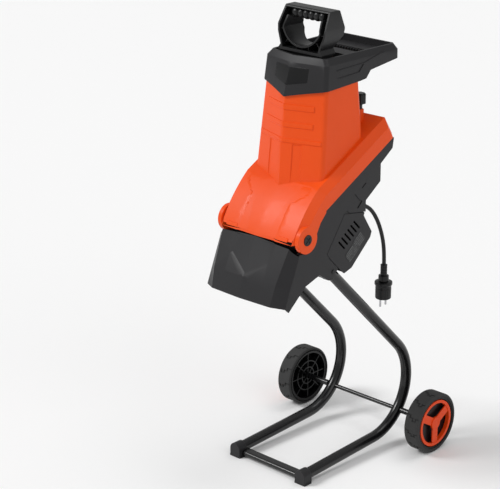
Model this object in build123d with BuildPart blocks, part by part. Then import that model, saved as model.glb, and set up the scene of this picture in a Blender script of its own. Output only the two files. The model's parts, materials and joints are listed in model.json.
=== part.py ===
from build123d import *
import os
from math import cos, pi, radians, sin, sqrt, tan

# Electric garden shredder on a two-wheeled tube stand.
# Millimetres. +Z is up, the discharge nose points to -Y, X runs from the machine's left to its right.
# The origin is on the ground, in the middle of the machine's footprint.

# ---------------------------------------------------------------- driving dimensions
FIT = 0.05  # radial clearance of a running fit
GAP = 0.3  # clearance between mating mouldings
SKIN = 3.0  # wall of the plastic mouldings

# tube stand
TUBE_D = 25.0
TUBE_WALL = 1.5
TRACK_HALF = 100.0
BEND_R = 122.5
BEND_Z = 150.5
RAIL_TILT = 2.6
STRUT_TILT = 45.0
RAIL_LENGTH = 248.0
STRUT_LENGTH = 388.0
FOOT_WIDTH = 30.0
FOOT_LENGTH = 24.0
FOOT_HEIGHT = 34.0
FOOT_TOE = 5.0
CROSSBAR_WIDTH = 26.0
CROSSBAR_HEIGHT = 13.0
CROSSBAR_SETBACK = 22.0

# wheels
WHEEL_D = 142.0
WHEEL_WIDTH = 40.0
WHEEL_INNER_X = 176.0
AXLE_Y = 179.0
AXLE_D = 10.0
SPACER_D = 14.0
TYRE_DEPTH = 9.0
HUB_COVER_R = 55.5
HUB_CAP_R = 15.0
SPOKE_COUNT = 3

# grinding deck: the tilted plane where the hopper meets the housing
DECK_TILT = 28.0
SEAM_Y = -20.0
SEAM_Z = 676.6
CASING_DEPTH = 48.0
SOCKET_WALL = 2.5
CASING_HALF = 118.0
BAND = 15.0

# hopper pivot
PIVOT_Y = -163.0
PIVOT_Z = 580.0
LOBE_R = 30.0
LOBE_THICKNESS = 10.0
PIVOT_PIN_D = 12.0
PIVOT_HEAD_R = 12.0
EAR_R = 17.0
EAR_THICKNESS = 5.0

# bonnet and discharge hood outlines, given on the middle plane
BONNET_FRONT_Y = -200.6
BONNET_FRONT_Z = 572.3
RIDGE_SETBACK = 3.3
HOOD_BREAK_Y = -238.4
HOOD_BREAK_Z = 488.4
HOOD_TIP_Y = -250.0
HOOD_TIP_Z = 444.8

# tower and collar
TOWER_HALF = 87.5
TOWER_TOP = 892.0
TOWER_FLARE = 0.045
TOWER_FRONT_Y = -105.5
TOWER_CORNER_Y = -73.0
TOWER_REAR_Y = 31.0
COLLAR_HALF = 91.0
COLLAR_TOP = 946.0
COLLAR_REAR_Y = 161.0
TRAY_DEPTH = 15.0
INLET_HALF = 68.0

# spindle
SPINDLE_V = -50.0
DISC_R = 88.0
DISC_THICKNESS = 8.0
DISC_DEPTH = 14.0
CHAMBER_R = 93.0
CHAMBER_DEPTH = 44.0
SHAFT_D = 15.0
MOTOR_R = 40.0
MOTOR_PLATE_R = 58.0
MOTOR_LENGTH = 94.0
BEARING_R = 16.0
BLADE_LENGTH = 62.0
BLADE_WIDTH = 34.0
BLADE_THICKNESS = 4.0
BLADE_HOLE_R = 4.2
BLADE_HOLE_PITCH = 30.0
BLADE_OFFSET = 48.0

# locking knob behind the tower
KNOB_X = 50.0
KNOB_Y = 76.0
KNOB_R = 15.0
KNOB_NECK = 12.0
KNOB_HEIGHT = 23.0
BOSS_R = 11.0
BOSS_TOP = 808.0
STUD_D = 8.0
STUD_REACH = 3.0
STUD_CLEARANCE = 1.4
STUD_SWING = 4.0

# switch gear on the housing's rear face
REAR_FACE_Y = 77.0
SWITCH_X = -42.0
SWITCH_Z = 676.0
RESET_X = -8.0

# plunger
GRIP_TOP = 1040.0
GRIP_HALF = 68.0
GRIP_BASE_HALF = 62.0
GRIP_Y = -47.0
SHANK_HALF = 58.0
SHANK_DEPTH = 34.0
SHANK_BOTTOM = 742.0

# supply lead
CORD_D = 9.0
CORD_X = 80.0
CORD_EXIT_Z = 607.0
REAR_NOTCH_Y = 29.0

# ---------------------------------------------------------------- derived places
WHEEL_R = WHEEL_D / 2
TUBE_R = TUBE_D / 2
HOUSING_HALF = TRACK_HALF + TUBE_R + SOCKET_WALL
BEND_Y = AXLE_Y - sqrt(BEND_R**2 - (BEND_Z - WHEEL_R) ** 2)
RAIL_COS, RAIL_SIN = cos(radians(RAIL_TILT)), sin(radians(RAIL_TILT))
STRUT_COS, STRUT_SIN = cos(radians(STRUT_TILT)), sin(radians(STRUT_TILT))
RAIL_REAR = (BEND_Y + BEND_R * RAIL_SIN, BEND_Z - BEND_R * RAIL_COS)
STRUT_FOOT = (BEND_Y + BEND_R * STRUT_SIN, BEND_Z + BEND_R * STRUT_COS)
RAIL_FRONT = (RAIL_REAR[0] - RAIL_LENGTH * RAIL_COS, RAIL_REAR[1] - RAIL_LENGTH * RAIL_SIN)
STRUT_TOP = (STRUT_FOOT[0] - STRUT_LENGTH * STRUT_COS, STRUT_FOOT[1] + STRUT_LENGTH * STRUT_SIN)
BEND_REACH = BEND_R * tan(radians(90 - (STRUT_TILT + RAIL_TILT) / 2))
BEND_CORNER = (RAIL_REAR[0] + BEND_REACH * RAIL_COS, RAIL_REAR[1] + BEND_REACH * RAIL_SIN)
FOOT_FRONT_Y = RAIL_FRONT[0] - FOOT_TOE
SLOPE = tan(radians(DECK_TILT))
DECK_COS, DECK_SIN = cos(radians(DECK_TILT)), sin(radians(DECK_TILT))
SWEEP_R = sqrt((BONNET_FRONT_Y - PIVOT_Y) ** 2 + (BONNET_FRONT_Z - PIVOT_Z) ** 2) + 0.8

deck = Plane(origin=(0, SEAM_Y, SEAM_Z), x_dir=(1, 0, 0), z_dir=(0, -DECK_SIN, DECK_COS))
spindle = Plane(
    origin=deck.from_local_coords((0, SPINDLE_V, 0)), x_dir=(1, 0, 0), z_dir=deck.z_dir
)
pivot_left = Plane(origin=(0, PIVOT_Y, PIVOT_Z), x_dir=(0, 1, 0), z_dir=(1, 0, 0))


def seam(y, lift=0.0):
    """Height of the hopper's seam at a place along the machine, lifted square to the deck."""
    return SEAM_Z + SLOPE * (y - SEAM_Y) + lift / DECK_COS


def save(builder, name):
    """Names a finished piece and writes its file."""
    builder.part.label = name
    export_step(builder.part, f"parts/{name}.step")


os.makedirs("parts", exist_ok=True)
SIDES = {"left": -1, "right": 1}

# ---------------------------------------------------------------- tube stand
with BuildPart() as axle_rod:
    with BuildSketch(Plane.YZ):
        with Locations((AXLE_Y, WHEEL_R)):
            Circle(AXLE_D / 2)
    extrude(amount=WHEEL_INNER_X + WHEEL_WIDTH - 9, both=True)
    chamfer(axle_rod.edges().filter_by(GeomType.CIRCLE), 1)
save(axle_rod, "axle_rod")

for side, sign in SIDES.items():
    tube_plane = Plane(origin=(sign * TRACK_HALF, 0, 0), x_dir=(0, 1, 0), z_dir=(1, 0, 0))
    with BuildPart() as frame_tube:
        with BuildLine(tube_plane) as bend_line:
            FilletPolyline(RAIL_FRONT, BEND_CORNER, STRUT_TOP, radius=BEND_R)
        with BuildSketch(Plane(origin=bend_line.line @ 0, z_dir=bend_line.line % 0)):
            Circle(TUBE_R)
            Circle(TUBE_R - TUBE_WALL, mode=Mode.SUBTRACT)
        sweep()
        with BuildSketch(Plane.YZ):
            with Locations((AXLE_Y, WHEEL_R)):
                Circle(AXLE_D / 2 + FIT)
        extrude(amount=WHEEL_INNER_X, both=True, mode=Mode.SUBTRACT)
    save(frame_tube, f"{side}_frame_tube")
    if side == "left":
        left_tube = frame_tube.part

with BuildPart() as crossbar:
    with BuildSketch(Plane.YZ):
        with Locations((FOOT_FRONT_Y + CROSSBAR_SETBACK, CROSSBAR_HEIGHT / 2 + 4)):
            SlotOverall(CROSSBAR_WIDTH, CROSSBAR_HEIGHT)
            SlotOverall(CROSSBAR_WIDTH - 3, CROSSBAR_HEIGHT - 3, mode=Mode.SUBTRACT)
    extrude(amount=TRACK_HALF - TUBE_R + 4, both=True)
    for sign in SIDES.values():
        rail_front = Plane(
            origin=(sign * TRACK_HALF, RAIL_FRONT[0], RAIL_FRONT[1]),
            x_dir=(1, 0, 0),
            z_dir=(0, RAIL_COS, RAIL_SIN),
        )
        with BuildSketch(rail_front):
            Circle(TUBE_R + 0.02)
        extrude(amount=RAIL_LENGTH, mode=Mode.SUBTRACT)
        with BuildSketch(Plane.YZ.offset(sign * (TRACK_HALF - 9))):
            with Locations((FOOT_FRONT_Y + CROSSBAR_SETBACK, CROSSBAR_HEIGHT)):
                Rectangle(2 * CROSSBAR_WIDTH, 3 * CROSSBAR_HEIGHT)
        extrude(amount=sign * 30, mode=Mode.SUBTRACT)
save(crossbar, "crossbar")

with BuildPart() as axle_spacers:
    for sign in SIDES.values():
        with BuildSketch(Plane.YZ.offset(sign * (TRACK_HALF + TUBE_R + GAP))):
            with Locations((AXLE_Y, WHEEL_R)):
                Circle(SPACER_D / 2)
                Circle(AXLE_D / 2 + FIT, mode=Mode.SUBTRACT)
        extrude(amount=sign * (WHEEL_INNER_X - TRACK_HALF - TUBE_R - 2 * GAP))
save(axle_spacers, "axle_spacers")

for side, sign in SIDES.items():
    rail_front = Plane(
        origin=(sign * TRACK_HALF, RAIL_FRONT[0], RAIL_FRONT[1]),
        x_dir=(1, 0, 0),
        z_dir=(0, RAIL_COS, RAIL_SIN),
    )
    with BuildPart() as foot_cap:
        with BuildSketch(Plane.XZ.offset(-FOOT_FRONT_Y)):
            with Locations((sign * TRACK_HALF, FOOT_HEIGHT - FOOT_WIDTH / 2)):
                Circle(FOOT_WIDTH / 2)
            with Locations((sign * TRACK_HALF, (FOOT_HEIGHT - FOOT_WIDTH / 2) / 2)):
                Rectangle(FOOT_WIDTH, FOOT_HEIGHT - FOOT_WIDTH / 2)
        extrude(amount=-FOOT_LENGTH)
        fillet(foot_cap.edges().filter_by(Plane.XZ).group_by(Axis.Y)[0], 1.5)
        with BuildSketch(Plane.XY):
            with Locations((sign * TRACK_HALF, FOOT_FRONT_Y + FOOT_LENGTH / 2)):
                RectangleRounded(FOOT_WIDTH + 2, FOOT_LENGTH, 2)
        extrude(amount=4)
        with BuildSketch(rail_front):
            Circle(TUBE_R + FIT)
        extrude(amount=2 * FOOT_LENGTH, mode=Mode.SUBTRACT)
        with BuildSketch(Plane.YZ):
            with Locations((FOOT_FRONT_Y + CROSSBAR_SETBACK, CROSSBAR_HEIGHT / 2 + 4)):
                SlotOverall(CROSSBAR_WIDTH + 2 * GAP, CROSSBAR_HEIGHT + 2 * GAP)
        extrude(amount=TRACK_HALF - 4, both=True, mode=Mode.SUBTRACT)
    save(foot_cap, f"{side}_foot_cap")

# ---------------------------------------------------------------- wheels
for side, sign in SIDES.items():
    outer = sign * (WHEEL_INNER_X + WHEEL_WIDTH)
    inner = sign * WHEEL_INNER_X
    seat_r = WHEEL_R - TYRE_DEPTH

    with BuildPart() as tyre:
        with BuildSketch(Plane.YZ.offset(inner)):
            with Locations((AXLE_Y, WHEEL_R)):
                Circle(WHEEL_R)
                Circle(seat_r, mode=Mode.SUBTRACT)
        extrude(amount=sign * WHEEL_WIDTH)
        fillet(tyre.edges().filter_by(GeomType.CIRCLE).sort_by(SortBy.RADIUS)[-2:], 4)
    save(tyre, f"{side}_tyre")

    with BuildPart() as wheel_core:
        with BuildSketch(Plane.YZ.offset(inner + sign * 1)):
            with Locations((AXLE_Y, WHEEL_R)):
                Circle(seat_r)
                Circle(seat_r - 4, mode=Mode.SUBTRACT)
        extrude(amount=sign * (WHEEL_WIDTH - 3))
        with BuildSketch(Plane.YZ.offset(inner + sign * 4)):
            with Locations((AXLE_Y, WHEEL_R)):
                Circle(38)
                Circle(35.5, mode=Mode.SUBTRACT)
                Circle(22)
                Circle(19.5, mode=Mode.SUBTRACT)
        extrude(amount=sign * 22)
        with BuildSketch(Plane.YZ.offset(inner + sign * 4)):
            with Locations((AXLE_Y, WHEEL_R)):
                with PolarLocations(seat_r / 2 - 1, 8):
                    Rectangle(seat_r - 6, 2)
        extrude(amount=sign * 22)
        with BuildSketch(Plane.YZ.offset(inner + sign * 24)):
            with Locations((AXLE_Y, WHEEL_R)):
                Circle(seat_r - 2)
        extrude(amount=sign * 3)
        with BuildSketch(Plane.YZ.offset(inner + sign * GAP)):
            with Locations((AXLE_Y, WHEEL_R)):
                Circle(AXLE_D / 2 + 4)
        extrude(amount=sign * 29)
        with BuildSketch(Plane.YZ.offset(inner)):
            with Locations((AXLE_Y, WHEEL_R)):
                Circle(AXLE_D / 2 + FIT)
        extrude(amount=sign * WHEEL_WIDTH, mode=Mode.SUBTRACT)
    save(wheel_core, f"{side}_wheel_core")

    with BuildPart() as retainer:
        with BuildSketch(Plane.YZ.offset(inner + sign * 29.6)):
            with Locations((AXLE_Y, WHEEL_R)):
                Circle(AXLE_D / 2 + 4)
                Circle(AXLE_D / 2, mode=Mode.SUBTRACT)
        extrude(amount=sign * 1)
    save(retainer, f"{side}_axle_clip")

    with BuildPart() as hub_cover:
        with BuildSketch(Plane.YZ.offset(outer - sign * 1.5)):
            with Locations((AXLE_Y, WHEEL_R)):
                Circle(HUB_COVER_R)
                Circle(HUB_COVER_R - 7, mode=Mode.SUBTRACT)
        extrude(amount=-sign * 10)
        with BuildSketch(Plane.YZ.offset(outer - sign * 3)):
            with Locations((AXLE_Y, WHEEL_R)):
                Circle(HUB_CAP_R)
                with PolarLocations(HUB_COVER_R / 2, SPOKE_COUNT, start_angle=-90):
                    Rectangle(HUB_COVER_R - 4, 19)
        extrude(amount=-sign * 3)
        with BuildSketch(Plane.YZ.offset(outer - sign * 1)):
            with Locations((AXLE_Y, WHEEL_R)):
                Circle(HUB_CAP_R)
        extrude(amount=-sign * 4)
    save(hub_cover, f"{side}_hub_cover")

# ---------------------------------------------------------------- lower housing
# Side outline of the housing, from the seam's rear end round the front to the rear notch.
SEAM_REAR_Y = 121.0
SEAM_FRONT_Y = -105.0
HOOD_EDGE = [(-184.0, 551.0), (-228.5, 441.0)]
MOUTH_EDGE = [(-217.5, 430.8), (-164.5, 475.8), (-119.2, 489.7)]
SOCKET_EDGE = [(-95.5, 473.0), (-80.7, 471.0), (-65.0, 486.0)]
COVER_EDGE = [(-98.0, 531.0), (-42.0, 610.0), (REAR_NOTCH_Y, 597.5)]
REAR_EDGE = [(REAR_NOTCH_Y, 623.0), (77.0, 656.0), (77.0, 696.0), (116.0, 723.0)]
COVER_OUTLINE = [
    (-64.0, 487.5),
    (-97.0, 530.2),
    (-41.6, 609.0),
    (REAR_NOTCH_Y - 0.5, 596.7),
    (24.0, 590.0),
    (52.5, 546.0),
    (47.3, 533.0),
    (-14.0, 478.0),
    (-37.0, 471.5),
    (-52.0, 474.0),
]
LOBE_RELIEF = LOBE_R + 1.2
SOCKET_WIDTH = 38.0
SOCKET_LENGTH = 46.0
STRUT_SCREW = (STRUT_TOP[0] + 26.0, STRUT_TOP[1] - 26.0)
STRUT_SCREW_R = 4.5
socket_planes = {
    sign: Plane(
        origin=(sign * TRACK_HALF, STRUT_TOP[0], STRUT_TOP[1]),
        x_dir=(1, 0, 0),
        z_dir=(0, -STRUT_COS, STRUT_SIN),
    )
    for sign in SIDES.values()
}

with BuildPart() as lower_housing:
    with BuildSketch(Plane.YZ) as housing_profile:
        Polygon(
            (SEAM_REAR_Y, seam(SEAM_REAR_Y, -GAP)),
            (SEAM_FRONT_Y, seam(SEAM_FRONT_Y, -GAP)),
            (-127.0, 607.0),
            (-141.0, 583.0),
            (-152.0, 553.0),
            *HOOD_EDGE,
            *MOUTH_EDGE,
            *SOCKET_EDGE,
            *COVER_EDGE,
            *REAR_EDGE,
            align=None,
        )
    extrude(amount=HOUSING_HALF, both=True)
    fillet(lower_housing.edges().filter_by(Axis.X).sort_by(Axis.Y)[-3:], 4)
    with BuildSketch(Plane.YZ):
        add(housing_profile.sketch_local)
        offset(amount=-SKIN, mode=Mode.REPLACE)
        Polygon((-190, 560), (-150, 560), (-128, 600), (-150, 640), (-230, 600), align=None)
        Polygon((-240, 440), (-214, 420), (-122, 482), (-122, 500), (-170, 520), align=None)
        Polygon((-240, 440), (-190, 555), (-160, 540), (-200, 440), align=None)
    extrude(amount=HOUSING_HALF - SKIN, both=True, mode=Mode.SUBTRACT)
    # grinding chamber: ring wall, floor and feed opening
    with BuildSketch(spindle.offset(-CHAMBER_DEPTH - SKIN)):
        Circle(CHAMBER_R + SKIN)
        with Locations((0, -CHAMBER_R)):
            Rectangle(3 * CHAMBER_R, 80, mode=Mode.SUBTRACT)
    extrude(amount=CHAMBER_DEPTH + SKIN - 1.5)
    with BuildSketch(spindle.offset(-CHAMBER_DEPTH)):
        Circle(CHAMBER_R)
    extrude(amount=CHAMBER_DEPTH + 20, mode=Mode.SUBTRACT)
    with BuildSketch(spindle.offset(-CHAMBER_DEPTH - 2 * SKIN)):
        Circle(MOTOR_R + 2)
    extrude(amount=3 * SKIN, mode=Mode.SUBTRACT)
    for radius, depth in ((MOTOR_PLATE_R + 2, 8.0), (MOTOR_R + 2, 130.0)):
        with BuildSketch(spindle.offset(-CHAMBER_DEPTH - SKIN)):
            Circle(radius)
        extrude(amount=-depth, mode=Mode.SUBTRACT)
    with BuildSketch(Plane.XY.offset(seam(KNOB_Y, 10))):
        with Locations((KNOB_X, KNOB_Y - STUD_SWING / 2)):
            SlotOverall(STUD_D + 2 * STUD_CLEARANCE + STUD_SWING, STUD_D + 2 * STUD_CLEARANCE, rotation=90)
    extrude(amount=-25, mode=Mode.SUBTRACT)
    with BuildSketch(Plane.XZ.offset(-REAR_FACE_Y + 10)):
        with Locations((SWITCH_X, SWITCH_Z)):
            Rectangle(24, 26)
        with Locations((RESET_X, SWITCH_Z)):
            Circle(6.4)
    extrude(amount=-20, mode=Mode.SUBTRACT)
    # pivot ears stand inside the hopper's lobes
    for sign in SIDES.values():
        ear_x = sign * (CASING_HALF - LOBE_THICKNESS - GAP)
        with BuildSketch(pivot_left.offset(ear_x - sign * EAR_THICKNESS)):
            Circle(EAR_R)
            Polygon((0, EAR_R), (0, -EAR_R), (48, -EAR_R - 8), (48, EAR_R + 8), align=None)
        extrude(amount=sign * (HOUSING_HALF - abs(ear_x) + EAR_THICKNESS - 1))
        with BuildSketch(pivot_left.offset(ear_x)):
            Circle(LOBE_RELIEF)
        extrude(amount=sign * 20, mode=Mode.SUBTRACT)
        with BuildSketch(pivot_left.offset(ear_x)):
            Circle(PIVOT_PIN_D / 2)
        extrude(amount=-sign * 8, mode=Mode.SUBTRACT)
        # strut sockets
        with BuildSketch(socket_planes[sign].offset(-SOCKET_LENGTH)):
            RectangleRounded(2 * (HOUSING_HALF - TRACK_HALF), SOCKET_WIDTH, 8)
        extrude(amount=SOCKET_LENGTH + 6)
        with BuildSketch(socket_planes[sign].offset(-60)):
            Circle(TUBE_R + FIT)
        extrude(amount=60 + FIT, mode=Mode.SUBTRACT)
        with BuildSketch(Plane.YZ.offset(sign * (HOUSING_HALF - 1.2))):
            with Locations(STRUT_SCREW):
                Circle(STRUT_SCREW_R + 0.2)
        extrude(amount=sign * 5, mode=Mode.SUBTRACT)
    # the bonnet swings down inside this clearance
    with BuildSketch(Plane.YZ):
        with Locations((PIVOT_Y, PIVOT_Z)):
            Circle(SWEEP_R)
    extrude(amount=CASING_HALF - LOBE_THICKNESS - EAR_THICKNESS - 1, both=True, mode=Mode.SUBTRACT)
save(lower_housing, "lower_housing")

with BuildPart() as motor_cover:
    with BuildSketch(Plane.YZ) as cover_profile:
        Polygon(*COVER_OUTLINE, align=None)
        fillet(cover_profile.vertices(), 3)
    extrude(amount=HOUSING_HALF, both=True)
    fillet(motor_cover.faces().filter_by(Axis.X).edges(), 2)
    with BuildSketch(Plane.YZ):
        add(cover_profile.sketch_local)
        offset(amount=-SKIN, mode=Mode.REPLACE)
        Polygon((-90, 536), (-44, 612), (22, 600), (20, 588), (-44, 596), (-84, 532), align=None)
    extrude(amount=HOUSING_HALF - SKIN, both=True, mode=Mode.SUBTRACT)
    for sign in SIDES.values():
        with BuildSketch(socket_planes[sign].offset(-130)):
            RectangleRounded(2 * (HOUSING_HALF - TRACK_HALF) + 2, SOCKET_WIDTH + 2 * GAP, 8)
        extrude(amount=150, mode=Mode.SUBTRACT)
    # cooling slots in both side walls
    with BuildSketch(Plane(origin=(0, -25.0, 557.0), x_dir=(0, 0.81, 0.586), z_dir=(1, 0, 0))):
        with GridLocations(12.0, 0, 6, 1):
            SlotOverall(30, 4.6, rotation=-81)
    extrude(amount=HOUSING_HALF + 1, both=True, mode=Mode.SUBTRACT)
save(motor_cover, "motor_cover")

# ---------------------------------------------------------------- discharge hood


def hood_section(z, inset=0.0):
    """Corner points of the hood's outline at one height, moved inwards by inset."""
    if z >= HOOD_BREAK_Z:
        share = (z - HOOD_BREAK_Z) / (BONNET_FRONT_Z - HOOD_BREAK_Z)
        ridge = HOOD_BREAK_Y + share * (BONNET_FRONT_Y - HOOD_BREAK_Y)
    else:
        share = (z - HOOD_BREAK_Z) / (HOOD_TIP_Z - HOOD_BREAK_Z)
        ridge = HOOD_BREAK_Y + share * (HOOD_TIP_Y - HOOD_BREAK_Y)
    corner_x = 98.0 - 0.095 * (BONNET_FRONT_Z - z)
    (top_y, top_z), (low_y, low_z) = HOOD_EDGE
    side = top_y + (z - top_z) * (low_y - top_y) / (low_z - top_z) - 1.5
    half = [
        (HOUSING_HALF - inset, side + 30),
        (HOUSING_HALF - inset, side + inset / 2),
        (corner_x - inset / 2, ridge + 5 + inset),
    ]
    return half + [(0, ridge + inset)] + [(-x, y) for x, y in reversed(half)]


hood_forms = []
for inset in (0.0, SKIN):
    with BuildPart() as hood_form:
        for low_z, high_z in ((HOOD_TIP_Z - 20, HOOD_BREAK_Z), (HOOD_BREAK_Z, BONNET_FRONT_Z + 10)):
            for z in (low_z, high_z):
                with BuildSketch(Plane.XY.offset(z)):
                    Polygon(*hood_section(z, inset), align=None)
            loft(ruled=True)
    hood_forms.append(hood_form.part)

with BuildPart() as discharge_hood:
    add(hood_forms[0])
    add(hood_forms[1], mode=Mode.SUBTRACT)
    # trimmed to the housing's front edge, the bonnet's swing and the mouth
    with BuildSketch(Plane.YZ):
        Polygon(
            (HOOD_EDGE[0][0] - GAP, HOOD_EDGE[0][1]),
            (HOOD_EDGE[1][0] - GAP, HOOD_EDGE[1][1]),
            (HOOD_TIP_Y - 1, HOOD_TIP_Z - 1),
            (HOOD_TIP_Y - 1, 571),
            (-196, 571),
            align=None,
        )
    extrude(amount=CASING_HALF, both=True, mode=Mode.INTERSECT)
    with BuildSketch(Plane.YZ):
        with Locations((PIVOT_Y, PIVOT_Z)):
            Circle(SWEEP_R)
    extrude(amount=CASING_HALF, both=True, mode=Mode.SUBTRACT)
save(discharge_hood, "discharge_hood")

# ---------------------------------------------------------------- hopper
DECK_FRONT_Y = -118.0
DECK_REAR_Y = 97.0
BONNET_MID = (-169.0, 624.0)
skew = RIDGE_SETBACK / 98.0
with BuildPart() as casing_shell:
    with BuildSketch(Plane.YZ) as casing_profile:
        with BuildLine():
            deck_front = (DECK_FRONT_Y, seam(DECK_FRONT_Y, CASING_DEPTH))
            deck_rear = (DECK_REAR_Y, seam(DECK_REAR_Y, CASING_DEPTH))
            Polyline(
                deck_front,
                deck_rear,
                (SEAM_REAR_Y + 2, seam(SEAM_REAR_Y + 2, GAP)),
                (SEAM_FRONT_Y, seam(SEAM_FRONT_Y, GAP)),
                (-126.5, 609.0),
                (-140.0, 584.5),
                (PIVOT_Y, PIVOT_Z),
                (BONNET_FRONT_Y, BONNET_FRONT_Z),
            )
            ThreePointArc((BONNET_FRONT_Y, BONNET_FRONT_Z), BONNET_MID, deck_front)
        make_face()
    extrude(amount=CASING_HALF * sqrt(1 + skew**2), dir=(1, skew, 0))
    flank = casing_shell.faces().sort_by(Axis.X)[-1]
    band_edges = flank.edges().filter_by(lambda edge: deck.to_local_coords(edge.center()).Z > 20)
    chamfer(band_edges, BAND)
    mirror(about=Plane.YZ)
    for inset, half_width in ((SKIN, CASING_HALF - BAND - 1), (SKIN + BAND, CASING_HALF - SKIN)):
        with BuildSketch(Plane.YZ):
            add(casing_profile.sketch_local)
            offset(amount=-inset, mode=Mode.REPLACE)
            Polygon(
                (SEAM_REAR_Y - 3 * SKIN, seam(SEAM_REAR_Y - 3 * SKIN, 6)),
                (SEAM_REAR_Y - 3 * SKIN, seam(SEAM_REAR_Y, -20)),
                (PIVOT_Y - 5, PIVOT_Z - 60),
                (BONNET_FRONT_Y + 1.2 * inset, BONNET_FRONT_Z - 20),
                (BONNET_FRONT_Y + 1.2 * inset, BONNET_FRONT_Z + 4),
                (PIVOT_Y, PIVOT_Z + 25),
                (SEAM_FRONT_Y, seam(SEAM_FRONT_Y, 28)),
                (SEAM_REAR_Y - 9 * SKIN, seam(SEAM_REAR_Y - 9 * SKIN, 28)),
                align=None,
            )
        extrude(amount=half_width, both=True, mode=Mode.SUBTRACT)


def tower_outline(z, inset=0.0):
    """Corner points of the tower's section at one height, moved inwards by inset."""
    drop = TOWER_TOP - z
    half = TOWER_HALF + TOWER_FLARE * drop - inset
    front = 0.106 * drop
    rear_y = TOWER_REAR_Y + 0.068 * drop - inset
    side = [(half + 2, rear_y), (half, TOWER_CORNER_Y - front + 0.6 * inset)]
    nose = (0, TOWER_FRONT_Y - front + inset)
    return side + [nose] + [(-x, y) for x, y in reversed(side)]


TOWER_BASE = 640.0
TOWER_LIP = 3.0
COLLAR_LIP = [(-130.0, 853.0), (-79.0, 880.0), (40.0, 885.4)]
tower_forms = []
for inset, lip, corner_r in ((0.0, TOWER_LIP, 12.0), (SKIN, 40.0, 9.0), (-GAP, TOWER_LIP + GAP, 12.3)):
    with BuildPart() as tower_form:
        for z in (TOWER_BASE, TOWER_TOP + GAP):
            with BuildSketch(Plane.XY.offset(z)) as tower_section:
                Polygon(*tower_outline(z, inset), align=None)
                fillet(tower_section.vertices().sort_by(Axis.Y)[1:], corner_r)
        loft(ruled=True)
        split(bisect_by=deck.offset(6.0 - 2 * inset), keep=Keep.TOP)
        with BuildSketch(Plane.YZ):
            Polygon(*[(y, z + lip) for y, z in COLLAR_LIP], (40, 950), (-130, 950), align=None)
        extrude(amount=2 * TOWER_HALF, both=True, mode=Mode.SUBTRACT)
    tower_forms.append(tower_form.part)

knob_seat = Plane(origin=(KNOB_X, KNOB_Y, BOSS_TOP), z_dir=(0, 0, 1))
with BuildPart() as hopper_casing:
    add(casing_shell.part)
    add(tower_forms[0])
    add(tower_forms[1], mode=Mode.SUBTRACT)
    for sign in SIDES.values():
        with BuildSketch(pivot_left.offset(sign * (CASING_HALF - LOBE_THICKNESS))):
            Circle(LOBE_R)
        extrude(amount=sign * LOBE_THICKNESS)
        with BuildSketch(pivot_left.offset(sign * (CASING_HALF - LOBE_THICKNESS))):
            Circle(EAR_R + 1.5)
        extrude(amount=-sign * (EAR_THICKNESS + 2 * GAP), mode=Mode.SUBTRACT)
        with BuildSketch(pivot_left.offset(sign * (CASING_HALF - LOBE_THICKNESS - 1))):
            Circle(PIVOT_PIN_D / 2 + FIT)
        extrude(amount=sign * 20, mode=Mode.SUBTRACT)
        with BuildSketch(pivot_left.offset(sign * (CASING_HALF - 3))):
            Circle(PIVOT_HEAD_R + 0.4)
        extrude(amount=sign * 10, mode=Mode.SUBTRACT)
    # boss and inner post under the locking knob
    with BuildSketch(knob_seat):
        Circle(BOSS_R)
    extrude(amount=-(BOSS_TOP - seam(KNOB_Y - BOSS_R, CASING_DEPTH) + SKIN))
    chamfer(hopper_casing.edges().filter_by_position(Axis.Z, BOSS_TOP - 0.1, BOSS_TOP + 0.1), 2)
    with BuildSketch(knob_seat):
        Circle(BOSS_R - 3)
    extrude(amount=-(BOSS_TOP - seam(KNOB_Y, -SKIN)))
    with BuildSketch(knob_seat):
        Circle(STUD_D / 2 + FIT)
    extrude(amount=-(BOSS_TOP - seam(KNOB_Y, -2 * SKIN)), mode=Mode.SUBTRACT)
    # the lower rim lies flat on the housing's seam
    with BuildSketch(Plane.YZ):
        Polygon(
            (SEAM_FRONT_Y, seam(SEAM_FRONT_Y, GAP)),
            (SEAM_REAR_Y + 20, seam(SEAM_REAR_Y + 20, GAP)),
            (SEAM_REAR_Y + 20, seam(SEAM_REAR_Y + 20, -30)),
            (SEAM_FRONT_Y, seam(SEAM_FRONT_Y, -30)),
            align=None,
        )
    extrude(amount=CASING_HALF, both=True, mode=Mode.SUBTRACT)
save(hopper_casing, "hopper_casing")

# ---------------------------------------------------------------- hopper collar with carry grip
COLLAR_CHAMFER = 13.0
COLLAR_SECTIONS = {
    # height: (ridge y, corner x, corner y, rear half width, rear y)
    860.0: (-114.0, 91.8, -81.0, 92.0, COLLAR_REAR_Y),
    COLLAR_TOP - COLLAR_CHAMFER: (-91.0, 87.6, -74.0, COLLAR_HALF, COLLAR_REAR_Y),
    COLLAR_TOP: (-83.0, 77.0, -68.0, COLLAR_HALF - 7, COLLAR_REAR_Y - 7),
}
UNDERSIDE = [(-113.0, 862.0), (-79.0, 880.0), (31.5, 885.0), (50.0, 887.0), (65.0, 903.0), (170.0, 915.5)]
GRIP_SLOT_Y = 95.0
GRIP_SLOT_WIDTH = 28.0
GRIP_SLOT_HALF = 58.0
BADGE_HALF = 46.0
INLET_REAR_Y = 45.0
INLET_FRONT_Y = -66.0


def collar_section(height, inset=0.0):
    """Corner points of the collar's outline at one of its listed heights."""
    ridge, corner_x, corner_y, rear_half, rear_y = COLLAR_SECTIONS[height]
    half = [(rear_half - inset, rear_y - inset), (corner_x - inset, corner_y + inset)]
    return half + [(0, ridge + inset)] + [(-x, y) for x, y in reversed(half)]


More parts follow.
